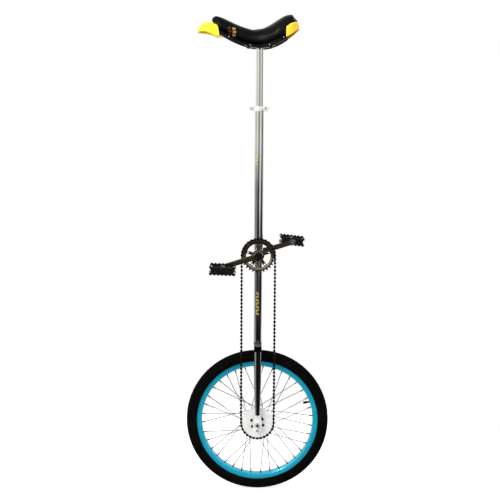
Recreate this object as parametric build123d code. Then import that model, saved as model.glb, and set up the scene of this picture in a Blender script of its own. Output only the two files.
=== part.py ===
from build123d import *
import math
import os

# Giraffe unicycle. Millimetres. Origin: the tyre's contact point with the ground, straight under the
# axle. +Z up, -X towards the front of the saddle, -Y the side that carries the chain.

# Clearance of a shaft in its hole
PRESS_GAP = 0.05

# Drive
CHAIN_PITCH = 12.7
TEETH = 28
CENTRE_PITCHES = 46
CHAIN_Y = -40.0
PLATE_T = 2.8
ROLLER_R = 3.88
LINK_EYE_R = 4.3
LINK_WAIST = 3.2

# Wheel
TYRE_R = 248.0
TYRE_W = 50.0
RIM_R = 211.0
RIM_INNER_R = 194.0
RIM_W = 30.0
SPOKES_PER_SIDE = 18
SPOKE_R = 1.0
FLANGE_HOLE_R = 31.0
NEAR_FLANGE_Y = -22.0
FAR_FLANGE_Y = 28.0
NIPPLE_PHASE = -86.2
VALVE_ANGLE = 18.1
VALVE_TIP_R = 171.6
VALVE_TIP_ANGLE = 20.6
VALVE_CAP_LENGTH = 14.0
TUBE_MID_R = 226.0
TUBE_R = 13.5
VALVE_TUBE_R = 42.0
AXLE_R = 5.0
AXLE_HALF = 80.0
HUB_BEARING_W = 8.0
HUB_BEARING_R = 13.0
FLANGE_R = 35.0
NEAR_BEARING_Y = -36.5
FAR_BEARING_Y = 31.0
SPROCKET_BORE = 12.0
BOLT_CIRCLE_R = 22.0
BOLT_ANGLES = [37 + 60 * i for i in range(6)]
WASHER_T = 1.5
TUG_T = 3.0
NUT_T = 8.0
TUG_SCREW_R = 2.5

# Frame
LOWER_TUBE_R = 14.3
UPPER_TUBE_R = 15.9
SHELL_R = 20.0
SHELL_HALF = 34.0
SHELL_BORE_R = 16.8
CUP_LIP_T = 3.0
CROWN_R = 13.2
CROWN_BOTTOM = 503.0
CROWN_TOP = 522.0
LEG_Y = 57.0
LEG_TOP_R = 12.7
LEG_BOTTOM_R = 8.9
LEG_BOTTOM = 280.0
TAPER_TOP = 400.0
DROPOUT_T = 5.0
CUP_IN_Y = 21.0
BRACKET_BEARING_OUT_Y = 33.0
BRACKET_BEARING_W = 7.0
BRACKET_BEARING_R = 15.0
BEARING_PRESS = 0.03
TUBE_TOP = 1338.0

# Seat clamp
CLAMP_Z = 1328.0
BAND_T = 2.5
EAR_X = 22.0
EAR_Y = 13.5
SKEWER_R = 3.0
CAM_R = 7.5
CAM_WASHER_T = 1.5
CAM_PIN_R = 2.5
EYE_HALF = 3.15

# Cranks and pedals
CRANK_LENGTH = 125.0
CRANK_ANGLE = 197.0
CRANK_INNER_Y = 50.0
CRANK_T = 12.5
SPINDLE_R = 8.5
SPINDLE_HALF = 57.0
SQUARE = 12.6
SQUARE_HOLE = 12.7
BOSS_R = 16.5
BOSS_INNER_Y = 41.5
FAR_BOSS_INNER_Y = 39.0
ARM_R = 10.0
ARM_END_R = 8.2
EYE_R = 10.5
BEVEL = 2.2
EYE_BEVEL = 1.6
COUNTERBORE_R = 11.2
COUNTERBORE_DEPTH = 4.0
CAP_R = 13.5
RING_HUB_R = 13.5
RING_DISC_R = 20.0
RING_INNER_R = 41.5
RING_BEAD_R = 50.0
RING_BEAD_T = 2.6
RING_ARM_W = 10.5
RING_HOLE_R = 37.0
PEDAL_SPINDLE_R = 4.5
PEDAL_THREAD_R = 7.05
PEDAL_LENGTH = 88.0
PEDAL_WIDTH = 96.0
PEDAL_T = 30.0
PEDAL_IN_Y = 72.0
NEAR_PEDAL_TILT = 2.0
FAR_PEDAL_TILT = 6.0
CAGE_T = 4.0
TOOTH_PITCH = 12.5
TOOTH_H = 4.0
WAIST_X = 38.0
REFLECTOR_W = 60.0
REFLECTOR_H = 15.0
REFLECTOR_T = 3.0

# Saddle
POST_R = 12.7
POST_BOTTOM = 1130.0
SADDLE_LOW = 1527.0
RISE_FRONT = 49.0
RISE_REAR = 43.7
FRONT_RUN = 134.0
REAR_RUN = 107.0
SADDLE_FRONT_X = -141.0
SADDLE_REAR_X = 97.0
WEB_LOW = 4.5
WEB_HIGH = 7.0
PLATE_HALF = 52.0
STUD_R = 3.0
HANDLE_END_X = -209.0

PITCH_R = CHAIN_PITCH / 2 / math.sin(math.pi / TEETH)
WHEEL_Z = TYRE_R
CRANK_Z = WHEEL_Z + CENTRE_PITCHES * CHAIN_PITCH
HUB_FACE_Y = CHAIN_Y + PLATE_T / 2
SPROCKET_FACE_Y = CHAIN_Y - PLATE_T / 2
CRANK_OUTER_Y = CRANK_INNER_Y + CRANK_T
LEVER_Y = EAR_Y + CAM_WASHER_T + CAM_R + PRESS_GAP
EPS = 0.5


# ---------- helpers ----------

def turn(points):
    """A turned part about Y through the origin, from (radius, y) points."""
    profile = Polyline(*[(radius, y) for radius, y in points], close=True)
    return revolve(make_face(profile), Axis.Y)


def face_from(*curves):
    """A face inside curves that meet end to end."""
    return make_face([edge for curve in curves for edge in curve.edges()])


def rod(start, end, radius):
    """A round bar from one point to another."""
    start = Vector(*start)
    end = Vector(*end)
    along = end - start
    return Solid.make_cylinder(radius, along.length, Plane(origin=start, z_dir=along))


def y_bar(x, z, y0, y1, radius, hole=0.0):
    """A round bar or ring along Y."""
    bar = rod((x, y0, z), (x, y1, z), radius)
    if hole:
        bar = bar - rod((x, y0 - EPS, z), (x, y1 + EPS, z), hole)
    return bar


def z_tube(z0, z1, radius, wall, x=0.0, y=0.0):
    """An upright tube."""
    outer = rod((x, y, z0), (x, y, z1), radius)
    return outer - rod((x, y, z0 - EPS), (x, y, z1 + EPS), radius - wall)


def y_plate(face, y0, y1):
    """A face drawn as (x, z), made into a plate between two y values."""
    plane = Plane(origin=(0, y0, 0), x_dir=(1, 0, 0), z_dir=(0, -1, 0))
    return extrude(plane * face, amount=y0 - y1)


def hexagon_bar(x, z, y0, y1, across_flats):
    """A hexagon bar along Y, flats up and down."""
    return y_plate(Pos(x, z) * RegularPolygon(across_flats / 2, 6, major_radius=False), y0, y1)


def polar(radius, degrees):
    """(x, z) at a radius and an angle about the origin."""
    angle = math.radians(degrees)
    return radius * math.cos(angle), radius * math.sin(angle)


def at_wheel(shape):
    return Pos(0, 0, WHEEL_Z) * shape


def at_crank(shape):
    return Pos(0, 0, CRANK_Z) * shape


def both_sides(shape):
    """A shape and its mirror image on the other side of the wheel."""
    return [shape, mirror(shape, Plane.XZ)]


def save(name, *shapes):
    """Write one node: every solid of the shapes given."""
    solids = []
    for shape in shapes:
        solids += shape.solids() if hasattr(shape, "solids") else [shape]
    body = solids[0] if len(solids) == 1 else Compound(children=solids)
    export_step(body, f"parts/{name}.step")


# ---------- frame ----------

def upper_tube():
    tube = z_tube(CRANK_Z, TUBE_TOP, UPPER_TUBE_R, UPPER_TUBE_R - POST_R - PRESS_GAP)
    tube -= y_bar(0, CRANK_Z, -SHELL_HALF, SHELL_HALF, SHELL_R)
    slot = Pos(UPPER_TUBE_R, 0, TUBE_TOP - 20) * Box(12, 3, 42)
    return tube - slot


def lower_tube():
    tube = z_tube(CROWN_TOP, CRANK_Z, LOWER_TUBE_R, 2.0)
    return tube - y_bar(0, CRANK_Z, -SHELL_HALF, SHELL_HALF, SHELL_R)


def fork_crown():
    face = SlotOverall(2 * (LEG_Y + CROWN_R), 2 * CROWN_R, rotation=90)
    bar = extrude(Pos(0, 0, CROWN_BOTTOM) * face, amount=CROWN_TOP - CROWN_BOTTOM)
    return fillet(bar.edges().group_by(Axis.Z)[-1], 1.5)


def fork_leg():
    """Near leg: straight at the top, tapered to the dropout, closed at the bottom."""
    straight = rod((0, -LEG_Y, TAPER_TOP), (0, -LEG_Y, CROWN_BOTTOM), LEG_TOP_R)
    taper = Pos(0, -LEG_Y, (LEG_BOTTOM + TAPER_TOP) / 2) * Cone(
        LEG_BOTTOM_R, LEG_TOP_R, TAPER_TOP - LEG_BOTTOM)
    bore = rod((0, -LEG_Y, TAPER_TOP + 10), (0, -LEG_Y, CROWN_BOTTOM - 5), LEG_TOP_R - 2)
    return straight + taper - bore


def dropout():
    """Near dropout: a plate under the leg with a slot open at the bottom."""
    bottom = WHEEL_Z - 16
    outline = Polyline((-9, LEG_BOTTOM), (9, LEG_BOTTOM), (14, WHEEL_Z + 14), (15, WHEEL_Z),
                       (14, bottom), (-14, bottom), (-15, WHEEL_Z), (-14, WHEEL_Z + 14), close=True)
    inner_y = -LEG_Y + DROPOUT_T / 2
    plate = y_plate(make_face(outline), inner_y, inner_y - DROPOUT_T)
    plate -= y_bar(0, WHEEL_Z, -LEG_Y - DROPOUT_T, -LEG_Y + DROPOUT_T, AXLE_R + PRESS_GAP)
    slot = Pos(0, -LEG_Y, WHEEL_Z - 15) * Box(2 * (AXLE_R + PRESS_GAP), 2 * DROPOUT_T, 30)
    return plate - slot


def bracket_shell():
    return y_bar(0, CRANK_Z, -SHELL_HALF, SHELL_HALF, SHELL_R, SHELL_BORE_R)


def bracket_cup():
    """Near cup: screws into the shell, with a flange outside and the bearing's seat inside."""
    lip_y = -SHELL_HALF - CUP_LIP_T
    seat_y = -BRACKET_BEARING_OUT_Y
    seat_r = BRACKET_BEARING_R
    thread_r = SHELL_BORE_R - PRESS_GAP
    lip_r = SHELL_R - 1
    return at_crank(turn([(seat_r, -CUP_IN_Y), (thread_r, -CUP_IN_Y), (thread_r, -SHELL_HALF),
                          (lip_r, -SHELL_HALF), (lip_r, lip_y), (10, lip_y), (10, seat_y),
                          (seat_r, seat_y)]))


def ball_bearing(bore_r, outer_r, y0, y1, balls):
    """A cartridge bearing: inner ring, outer ring and balls, as separate solids."""
    mid_r = (bore_r + outer_r) / 2
    mid_y = (y0 + y1) / 2
    ball_r = (outer_r - bore_r) * 0.22
    groove = Torus(mid_r, ball_r + PRESS_GAP, rotation=(90, 0, 0)).moved(Location((0, mid_y, 0)))
    ring_t = (outer_r - bore_r) * 0.36
    inner = y_bar(0, 0, y0, y1, bore_r + ring_t, bore_r) - groove
    outer = y_bar(0, 0, y0, y1, outer_r, outer_r - ring_t) - groove
    solids = [inner, outer]
    for i in range(balls):
        x, z = polar(mid_r, 360 * i / balls)
        solids.append(Pos(x, mid_y, z) * Sphere(ball_r))
    return Compound(children=[s for shape in solids for s in shape.solids()])


def bracket_bearings():
    near = ball_bearing(SPINDLE_R + BEARING_PRESS, BRACKET_BEARING_R, -BRACKET_BEARING_OUT_Y,
                        -BRACKET_BEARING_OUT_Y + BRACKET_BEARING_W, 11)
    return [at_crank(bearing) for bearing in both_sides(near)]


# ---------- seat clamp ----------


def clamp_collar():
    """Split collar round the frame tube with two ears for the skewer."""
    outer_r = UPPER_TUBE_R + BAND_T
    band = z_tube(CLAMP_Z - 8, CLAMP_Z + 8, outer_r, BAND_T - 0.02)
    ears = Pos(EAR_X - 2, 0, CLAMP_Z) * Box(14, 2 * EAR_Y, 16)
    ears = fillet(ears.edges().filter_by(Axis.Y).group_by(Axis.X)[-1], 6)
    ears -= rod((0, 0, CLAMP_Z - 9), (0, 0, CLAMP_Z + 9), outer_r - 1)
    collar = band + ears
    collar -= Pos(EAR_X, 0, CLAMP_Z) * Box(20, 3, 18)
    return collar - y_bar(EAR_X, CLAMP_Z, -EAR_Y - 1, EAR_Y + 1, SKEWER_R + PRESS_GAP)


def clamp_skewer():
    """Skewer through the ears, ending in an eye on the cam pin."""
    bar = y_bar(EAR_X, CLAMP_Z, -EAR_Y - 4, LEVER_Y, SKEWER_R)
    eye = rod((EAR_X, LEVER_Y, CLAMP_Z - EYE_HALF), (EAR_X, LEVER_Y, CLAMP_Z + EYE_HALF), 4.8)
    hole = rod((EAR_X, LEVER_Y, CLAMP_Z - 9), (EAR_X, LEVER_Y, CLAMP_Z + 9), CAM_PIN_R + PRESS_GAP)
    return bar + eye - hole


def clamp_nut():
    """Round thumb nut on the near end of the skewer, with a recess in its face."""
    nut = y_bar(EAR_X, CLAMP_Z, -EAR_Y - 9, -EAR_Y, 9.5, SKEWER_R + PRESS_GAP)
    return fillet(nut.edges().filter_by(GeomType.CIRCLE).sort_by(Axis.Y)[0], 1.0)


def cam_pin():
    """Upright pin that the lever swings on, and the washer under the cam."""
    pin = rod((EAR_X, LEVER_Y, CLAMP_Z - 7), (EAR_X, LEVER_Y, CLAMP_Z + 7), CAM_PIN_R)
    washer = y_bar(EAR_X, CLAMP_Z, EAR_Y, EAR_Y + CAM_WASHER_T, 7.5, SKEWER_R + PRESS_GAP)
    return [pin, washer]


def lever():
    """Cam boss on the pin and a handle that wraps round the far side of the tube."""
    boss = rod((EAR_X, LEVER_Y, CLAMP_Z - 6), (EAR_X, LEVER_Y, CLAMP_Z + 6), CAM_R)
    path = ThreePointArc((EAR_X, LEVER_Y + 2), (-3, LEVER_Y + 6.5), (-33, LEVER_Y - 4))
    handle = trace(path, 5.0)
    handle = extrude(Pos(0, 0, CLAMP_Z - 6) * handle, amount=12)
    slot_half = EYE_HALF + 0.2
    slot = rod((EAR_X, LEVER_Y, CLAMP_Z - slot_half), (EAR_X, LEVER_Y, CLAMP_Z + slot_half), CAM_R + 1)
    hole = rod((EAR_X, LEVER_Y, CLAMP_Z - 9), (EAR_X, LEVER_Y, CLAMP_Z + 9), CAM_PIN_R + PRESS_GAP)
    return boss + handle - slot - hole


# ---------- axle ----------


def axle():
    """Solid axle with a thread relief inside each nut, so that each end stands out as a plain pin."""
    bar = y_bar(0, 0, -AXLE_HALF, AXLE_HALF, AXLE_R)
    nut_face = LEG_Y + DROPOUT_T / 2 + TUG_T + WASHER_T + NUT_T
    for side in (-1, 1):
        bar -= y_bar(0, 0, side * (nut_face - 1.5), side * nut_face, AXLE_R + 1, AXLE_R - 0.5)
    return at_wheel(bar)


def axle_spacers():
    """Sleeves between the inner rings of the hub bearings and the dropouts."""
    face = LEG_Y - DROPOUT_T / 2
    near = y_bar(0, 0, -face, NEAR_BEARING_Y, 7.5, AXLE_R + PRESS_GAP)
    far = y_bar(0, 0, FAR_BEARING_Y, face, 7.5, AXLE_R + PRESS_GAP)
    return at_wheel(near), at_wheel(far)


def chain_tug():
    """Near tug: an eye on the axle with a screw that points down."""
    inner_y = -LEG_Y - DROPOUT_T / 2
    eye = y_bar(0, 0, inner_y - TUG_T, inner_y, 10)
    screw_y = inner_y - TUG_SCREW_R - 0.3
    tab = Pos(0, inner_y - TUG_T / 2, -11.5) * Box(7, TUG_T, 7)
    tug = eye + tab + rod((0, screw_y, -10.5), (0, screw_y, -45), TUG_SCREW_R)
    return at_wheel(tug - y_bar(0, 0, inner_y - 9, inner_y + EPS, AXLE_R + PRESS_GAP)), screw_y


def tug_cap(screw_y):
    """Near cap under the dropout's open end, and the nut that pulls the screw."""
    inner_y = -LEG_Y + DROPOUT_T / 2
    outer_y = screw_y - 4.5
    outline = Polyline((-13, -16), (13, -16), (13, -22), (6, -20), (-6, -20), (-13, -22), close=True)
    cap = y_plate(make_face(outline), inner_y, outer_y)
    nut = Pos(0, screw_y, -20.01) * extrude(RegularPolygon(4, 6, major_radius=False), amount=-4)
    hole = rod((0, screw_y, -10), (0, screw_y, -50), TUG_SCREW_R + PRESS_GAP)
    return at_wheel(cap - hole), at_wheel(nut - hole)


def axle_washer():
    inner_y = -LEG_Y - DROPOUT_T / 2 - TUG_T
    return at_wheel(y_bar(0, 0, inner_y - WASHER_T, inner_y, 9.5, AXLE_R + PRESS_GAP))


def axle_nut():
    inner_y = -LEG_Y - DROPOUT_T / 2 - TUG_T - WASHER_T
    nut = hexagon_bar(0, 0, inner_y, inner_y - NUT_T, 16)
    return at_wheel(nut - y_bar(0, 0, inner_y - NUT_T - 1, inner_y + 1, AXLE_R + PRESS_GAP))


# ---------- wheel ----------

def tyre():
    """Open-bottomed tyre carcass, round on the outside, with its beads on the rim's ledges."""
    section_r = TYRE_W / 2
    shoulder_r = RIM_R + 1.5
    shoulder_y = math.sqrt(section_r ** 2 - (TYRE_R - section_r - shoulder_r) ** 2)
    outer = ThreePointArc((shoulder_r, shoulder_y), (TYRE_R, 0), (shoulder_r, -shoulder_y))
    shelf_r = shoulder_r + 2.0
    inner = ThreePointArc((shelf_r, shoulder_y - 4), (TYRE_R - 4.5, 0), (shelf_r, 4 - shoulder_y))
    bead_r = RIM_R - 7.98
    bead_y = RIM_W / 2 - 2.5
    edge_r = RIM_R + 0.3
    bead = [(edge_r, RIM_W / 2 - 0.2), (edge_r, bead_y), (bead_r, bead_y), (bead_r, bead_y - 3.5),
            (shelf_r, bead_y - 3.5)]
    near_bead = [(radius, -y) for radius, y in bead]
    outline = face_from(outer, Polyline(outer @ 1, *near_bead, inner @ 1), inner,
                        Polyline(outer @ 0, *bead, inner @ 0))
    return at_wheel(revolve(outline, Axis.Y))


def rim():
    """Single-wall channel rim with bead ledges, spoke holes and a valve hole."""
    half = RIM_W / 2
    wall = half - 2.3
    ledge = 10.5
    bead_r = RIM_R - 8
    section = [(RIM_INNER_R, -half + 3), (RIM_INNER_R + 4, -half), (RIM_R, -half), (RIM_R, -wall),
               (bead_r, -wall), (bead_r - 2, -ledge), (RIM_INNER_R + 4, -9), (RIM_INNER_R + 2.5, -7)]
    mirrored = [(radius, -y) for radius, y in reversed(section)]
    body = turn(section + mirrored)
    for start, end in spoke_lines():
        body -= spoke_bar(start, end, 16, -12, 2.25)
    return at_wheel(body - valve_bar(0, VALVE_TUBE_R, 3.4))


def rim_tape():
    base = RIM_INNER_R + 7.3
    band_points = [(base, -8.5), (base + 1, -8.5), (base + 1, 8.5), (base, 8.5)]
    return at_wheel(turn(band_points) - valve_bar(0, VALVE_TUBE_R, 3.4))


def xz_point(radius, degrees, y=0.0):
    """A point in the wheel's plane, as (x, y, z)."""
    x, z = polar(radius, degrees)
    return x, y, z


def inner_tube():
    """Hollow ring of rubber inside the tyre."""
    ring = Circle(TUBE_R) - Circle(TUBE_R - 1.2)
    return at_wheel(revolve(Pos(TUBE_MID_R, 0) * ring, Axis.Y))


def valve_bar(start, end, radius):
    """A bar on the valve's line, between two distances from its tip."""
    tip = Vector(*xz_point(VALVE_TIP_R, VALVE_TIP_ANGLE))
    base = Vector(*xz_point(TUBE_MID_R - TUBE_R, VALVE_ANGLE))
    along = (base - tip).normalized()
    return rod(tip + along * start, tip + along * end, radius)


def valve_stem():
    """Valve through the rim, from the inner tube to its cap."""
    stem = valve_bar(VALVE_CAP_LENGTH, VALVE_TUBE_R - 0.6, 3.2)
    tip = valve_bar(4, VALVE_CAP_LENGTH, 2.4)
    return at_wheel(stem + tip)


def valve_cap():
    cap = valve_bar(0, VALVE_CAP_LENGTH - 0.2, 4.1)
    return at_wheel(cap - valve_bar(3.5, VALVE_CAP_LENGTH + 1, 2.45))


def spoke_line(index, flange_y, rim_y, phase):
    """Where one spoke starts, beside its flange, and where it meets the rim."""
    hub_angle = phase + 20.0 * index
    leading = index % 2 == 0
    rim_angle = hub_angle + (60.0 if leading else -60.0)
    outward = math.copysign(1, flange_y)
    side_y = flange_y + outward * (4.0 if leading else -2.6)
    return xz_point(FLANGE_HOLE_R, hub_angle, side_y), xz_point(RIM_INNER_R, rim_angle, rim_y)


def spoke_lines(side=None):
    """Start and end of each spoke: the near flange's, the far flange's, or both."""
    lines = []
    for name, flange_y, rim_y, phase in (("near", NEAR_FLANGE_Y, -3, 0), ("far", FAR_FLANGE_Y, 3, 10)):
        if side in (None, name):
            lines += [spoke_line(i, flange_y, rim_y, NIPPLE_PHASE + phase)
                      for i in range(SPOKES_PER_SIDE)]
    return lines


def spoke_bar(start, end, inside, outside, radius):
    """A bar on a spoke's line, from inside to outside the rim's inner face (outside is negative)."""
    start = Vector(*start)
    end = Vector(*end)
    along = (end - start).normalized()
    return rod(end - along * inside, end - along * outside, radius)


def spoke(start, end, flange_y):
    """A straight spoke with its elbow and head through the flange."""
    bar = spoke_bar(start, end, (Vector(*end) - Vector(*start)).length, 2, SPOKE_R)
    x, y, z = start
    into = math.copysign(1, flange_y - y)
    neck_y = flange_y + into * 1.55
    elbow = Pos(x, y, z) * Sphere(SPOKE_R)
    neck = y_bar(x, z, y, neck_y, SPOKE_R)
    head = y_bar(x, z, neck_y, neck_y + into * 1.2, 1.9)
    return at_wheel(bar + elbow + neck + head)


def spokes(side, flange_y):
    return [spoke(start, end, flange_y) for start, end in spoke_lines(side)]


def nipple(start, end):
    """A nipple through the rim with its head inside the channel."""
    shaft = spoke_bar(start, end, 12, -4, 2.0)
    head = spoke_bar(start, end, -3.8, -6.0, 3.2)
    bore = spoke_bar(start, end, 13, -2.1, SPOKE_R + PRESS_GAP)
    return at_wheel(shaft + head - bore)


def nipples():
    return [nipple(start, end) for start, end in spoke_lines()]


def hub_shell():
    """Hub with two drilled flanges, bearing seats and the sprocket's seat."""
    near = NEAR_FLANGE_Y
    far = FAR_FLANGE_Y
    seat = HUB_BEARING_R
    inner_near = NEAR_BEARING_Y + HUB_BEARING_W
    inner_far = FAR_BEARING_Y - HUB_BEARING_W
    outer = [(27, HUB_FACE_Y), (27, HUB_FACE_Y + 5), (19, HUB_FACE_Y + 8), (18, near - 1.5),
             (FLANGE_R, near - 1.5), (FLANGE_R, near + 1.5), (18, near + 1.5), (15, near + 8),
             (15, far - 8), (18, far - 1.5), (FLANGE_R, far - 1.5), (FLANGE_R, far + 1.5),
             (18, far + 1.5), (18, far + 4)]
    bore = [(seat, far + 4), (seat, inner_far), (8, inner_far), (8, inner_near), (seat, inner_near),
            (seat, HUB_FACE_Y)]
    hub = turn(outer + bore)
    for flange_y, phase in ((near, 0), (far, 10)):
        for i in range(SPOKES_PER_SIDE):
            x, z = polar(FLANGE_HOLE_R, NIPPLE_PHASE + phase + 20 * i)
            hub -= y_bar(x, z, flange_y - 3, flange_y + 3, SPOKE_R + 0.2)
    for angle in BOLT_ANGLES:
        x, z = polar(BOLT_CIRCLE_R, angle)
        hub -= y_bar(x, z, HUB_FACE_Y - 1, HUB_FACE_Y + 7, 2.55)
    return at_wheel(hub)


def hub_bearings():
    bore_r = AXLE_R + BEARING_PRESS
    near = ball_bearing(bore_r, HUB_BEARING_R, NEAR_BEARING_Y, NEAR_BEARING_Y + HUB_BEARING_W, 8)
    far = ball_bearing(bore_r, HUB_BEARING_R, FAR_BEARING_Y - HUB_BEARING_W, FAR_BEARING_Y, 8)
    return at_wheel(near), at_wheel(far)


def tooth_outline():
    """Closed (x, z) outline of a sprocket: a round seat for each roller and a tapered tooth between."""
    step = 360 / TEETH
    seat_r = ROLLER_R + 0.12
    tip_r = PITCH_R + 3.3
    tip_half = math.degrees(0.9 / tip_r)
    pieces = []
    for k in range(TEETH):
        centre = Vector(*polar(PITCH_R, k * step))
        seat = [centre + Vector(*polar(seat_r, k * step + 180 + turn_by)) for turn_by in (60, 0, -60)]
        tips = [Vector(*polar(tip_r, (k + 0.5) * step + side * tip_half)) for side in (-1, 1)]
        next_centre = Vector(*polar(PITCH_R, (k + 1) * step))
        next_seat = next_centre + Vector(*polar(seat_r, (k + 1) * step + 240))
        pieces.append(ThreePointArc(*seat))
        pieces.append(Polyline(seat[2], tips[0], tips[1], next_seat))
    return face_from(*pieces)


def sprocket():
    """Wheel sprocket: a plain toothed disc with a bore and six bolt holes."""
    disc = tooth_outline() - Circle(SPROCKET_BORE)
    for angle in BOLT_ANGLES:
        disc -= Pos(*polar(BOLT_CIRCLE_R, angle)) * Circle(2.75)
    return at_wheel(y_plate(disc, HUB_FACE_Y, SPROCKET_FACE_Y))


def sprocket_bolts():
    """Button-head bolts with a hexagon recess."""
    bolts = []
    outer_y = SPROCKET_FACE_Y
    for angle in BOLT_ANGLES:
        x, z = polar(BOLT_CIRCLE_R, angle)
        bolt = y_bar(x, z, outer_y, HUB_FACE_Y + 6, 2.5) + y_bar(x, z, outer_y - 3, outer_y, 4.5)
        bolt -= hexagon_bar(x, z, outer_y - 1.2, outer_y - 4, 3)
        bolts.append(at_wheel(bolt))
    return bolts


# ---------- chain ----------

def chain_points():
    """Pin places (x, z) round both sprockets: the top wrap, down the front, the bottom wrap, back up."""
    step = 360 / TEETH
    half = TEETH // 2
    top = [polar(PITCH_R, k * step) for k in range(half + 1)]
    bottom = [polar(PITCH_R, 180 + k * step) for k in range(half + 1)]
    points = [(x, z + CRANK_Z) for x, z in top]
    points += [(-PITCH_R, CRANK_Z - CHAIN_PITCH * i) for i in range(1, CENTRE_PITCHES)]
    points += [(x, z + WHEEL_Z) for x, z in bottom]
    points += [(PITCH_R, WHEEL_Z + CHAIN_PITCH * i) for i in range(1, CENTRE_PITCHES)]
    return points


def link_plate(y0, y1):
    """Waisted link plate with an eye at each end."""
    face = Circle(LINK_EYE_R) + Pos(CHAIN_PITCH, 0) * Circle(LINK_EYE_R)
    face += Pos(CHAIN_PITCH / 2, 0) * Rectangle(CHAIN_PITCH, LINK_WAIST)
    return y_plate(face, y1, y0)


def inner_link():
    link = link_plate(1.65, 2.65) + link_plate(-2.65, -1.65)
    for x in (0, CHAIN_PITCH):
        link += y_bar(x, 0, -1.65, 1.65, ROLLER_R)
    for x in (0, CHAIN_PITCH):
        link -= y_bar(x, 0, -3, 3, 1.86)
    return link


def outer_link():
    link = link_plate(2.75, 3.75) + link_plate(-3.75, -2.75)
    for x in (0, CHAIN_PITCH):
        link += y_bar(x, 0, -4.3, 4.3, 1.8)
    return link


def chain_links(link, first):
    """Every second link of the loop, placed from pin to pin."""
    points = chain_points()
    body = link.solids()[0]
    copies = []
    for i in range(first, len(points), 2):
        x0, z0 = points[i]
        x1, z1 = points[(i + 1) % len(points)]
        tilt = -math.degrees(math.atan2(z1 - z0, x1 - x0))
        copies.append(body.moved(Location((x0, CHAIN_Y, z0), (0, tilt, 0))))
    return copies


# ---------- crankset ----------


def chainring():
    """Toothed ring with a dished rim, on five drilled arms and a hub disc."""
    face = tooth_outline() - Circle(RING_INNER_R)
    face += Circle(RING_DISC_R)
    arm_start = RING_DISC_R - 4
    arm_end = RING_INNER_R + 4
    for i in range(5):
        arm = Pos((arm_start + arm_end) / 2, 0) * Rectangle(arm_end - arm_start, RING_ARM_W)
        face += Rot(0, 0, 90 + 72 * i) * arm
    for i in range(5):
        face -= Pos(*polar(RING_HOLE_R, 90 + 72 * i)) * Circle(3.0)
    face -= Circle(RING_HUB_R + PRESS_GAP)
    ring = y_plate(face, HUB_FACE_Y, SPROCKET_FACE_Y)
    crest_y = SPROCKET_FACE_Y - RING_BEAD_T
    bead = turn([(RING_INNER_R, SPROCKET_FACE_Y + 1), (RING_INNER_R, SPROCKET_FACE_Y - 0.3),
                 (RING_BEAD_R - 1.6, crest_y), (RING_BEAD_R - 0.6, crest_y),
                 (RING_BEAD_R + 0.4, SPROCKET_FACE_Y - 0.5), (RING_BEAD_R + 0.4, SPROCKET_FACE_Y + 1)])
    return at_crank(ring + bead)


def spindle():
    """Bottom bracket spindle: round in the middle, square at both ends."""
    body = y_bar(0, 0, -38, 38, SPINDLE_R)
    ends = Box(SQUARE, 2 * SPINDLE_HALF, SQUARE) & y_bar(0, 0, -SPINDLE_HALF, SPINDLE_HALF, SPINDLE_R)
    return turned_to(body + ends, CRANK_ANGLE)


def crank_arm(boss_inner_y):
    """A crank along +X on the near side: boss, tapered arm and pedal eye."""
    outline = make_hull((Circle(ARM_R).edges() + (Pos(CRANK_LENGTH, 0) * Circle(ARM_END_R)).edges()))
    arm = y_plate(outline, -CRANK_INNER_Y, -CRANK_OUTER_Y)
    arm += y_bar(CRANK_LENGTH, 0, -CRANK_OUTER_Y, -CRANK_INNER_Y, EYE_R)
    arm += y_bar(0, 0, -CRANK_OUTER_Y, -boss_inner_y, BOSS_R)
    outer_edges = arm.edges().filter_by(lambda e: abs(e.center().Y + CRANK_OUTER_Y) < 0.01)
    arm = chamfer(outer_edges, BEVEL)
    eye_edges = arm.edges().filter_by(lambda e: abs(e.center().Y + CRANK_INNER_Y) < 0.01
                                      and e.center().X > CRANK_LENGTH - EYE_R / 2)
    arm = chamfer(eye_edges, EYE_BEVEL)
    arm -= Pos(0, -CRANK_OUTER_Y, 0) * Box(SQUARE_HOLE, 60, SQUARE_HOLE)
    arm -= y_bar(0, 0, -CRANK_OUTER_Y - 1, -CRANK_OUTER_Y + COUNTERBORE_DEPTH, COUNTERBORE_R)
    return arm - y_bar(CRANK_LENGTH, 0, -CRANK_OUTER_Y - 1, -CRANK_INNER_Y + 1,
                       PEDAL_THREAD_R + PRESS_GAP)


def turned_to(shape, degrees):
    """Turn a shape drawn along +X about Y so that it points at an angle in the (x, z) plane."""
    return at_crank(Rot(0, -degrees, 0) * shape)


def crank_near():
    arm = crank_arm(BOSS_INNER_Y)
    spigot = y_bar(0, 0, -BOSS_INNER_Y - 1, HUB_FACE_Y, RING_HUB_R)
    spigot -= Pos(0, CHAIN_Y, 0) * Box(SQUARE_HOLE, 30, SQUARE_HOLE)
    return turned_to(arm + spigot, CRANK_ANGLE)


def crank_far():
    arm = mirror(crank_arm(FAR_BOSS_INNER_Y), Plane.XZ)
    return turned_to(arm, CRANK_ANGLE + 180)


def crank_bolt():
    """Near crank bolt: its head in the boss's counterbore."""
    seat_y = -CRANK_OUTER_Y + COUNTERBORE_DEPTH
    return at_crank(hexagon_bar(0, 0, seat_y, seat_y - 2.6, 14))


def dust_cap():
    """Near cap over the boss's face."""
    return at_crank(turn([(0, -CRANK_OUTER_Y), (CAP_R, -CRANK_OUTER_Y), (CAP_R, -CRANK_OUTER_Y - 1.4),
                          (CAP_R - 2, -CRANK_OUTER_Y - 2.6), (0, -CRANK_OUTER_Y - 2.6)]))


# ---------- pedals ----------


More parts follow.
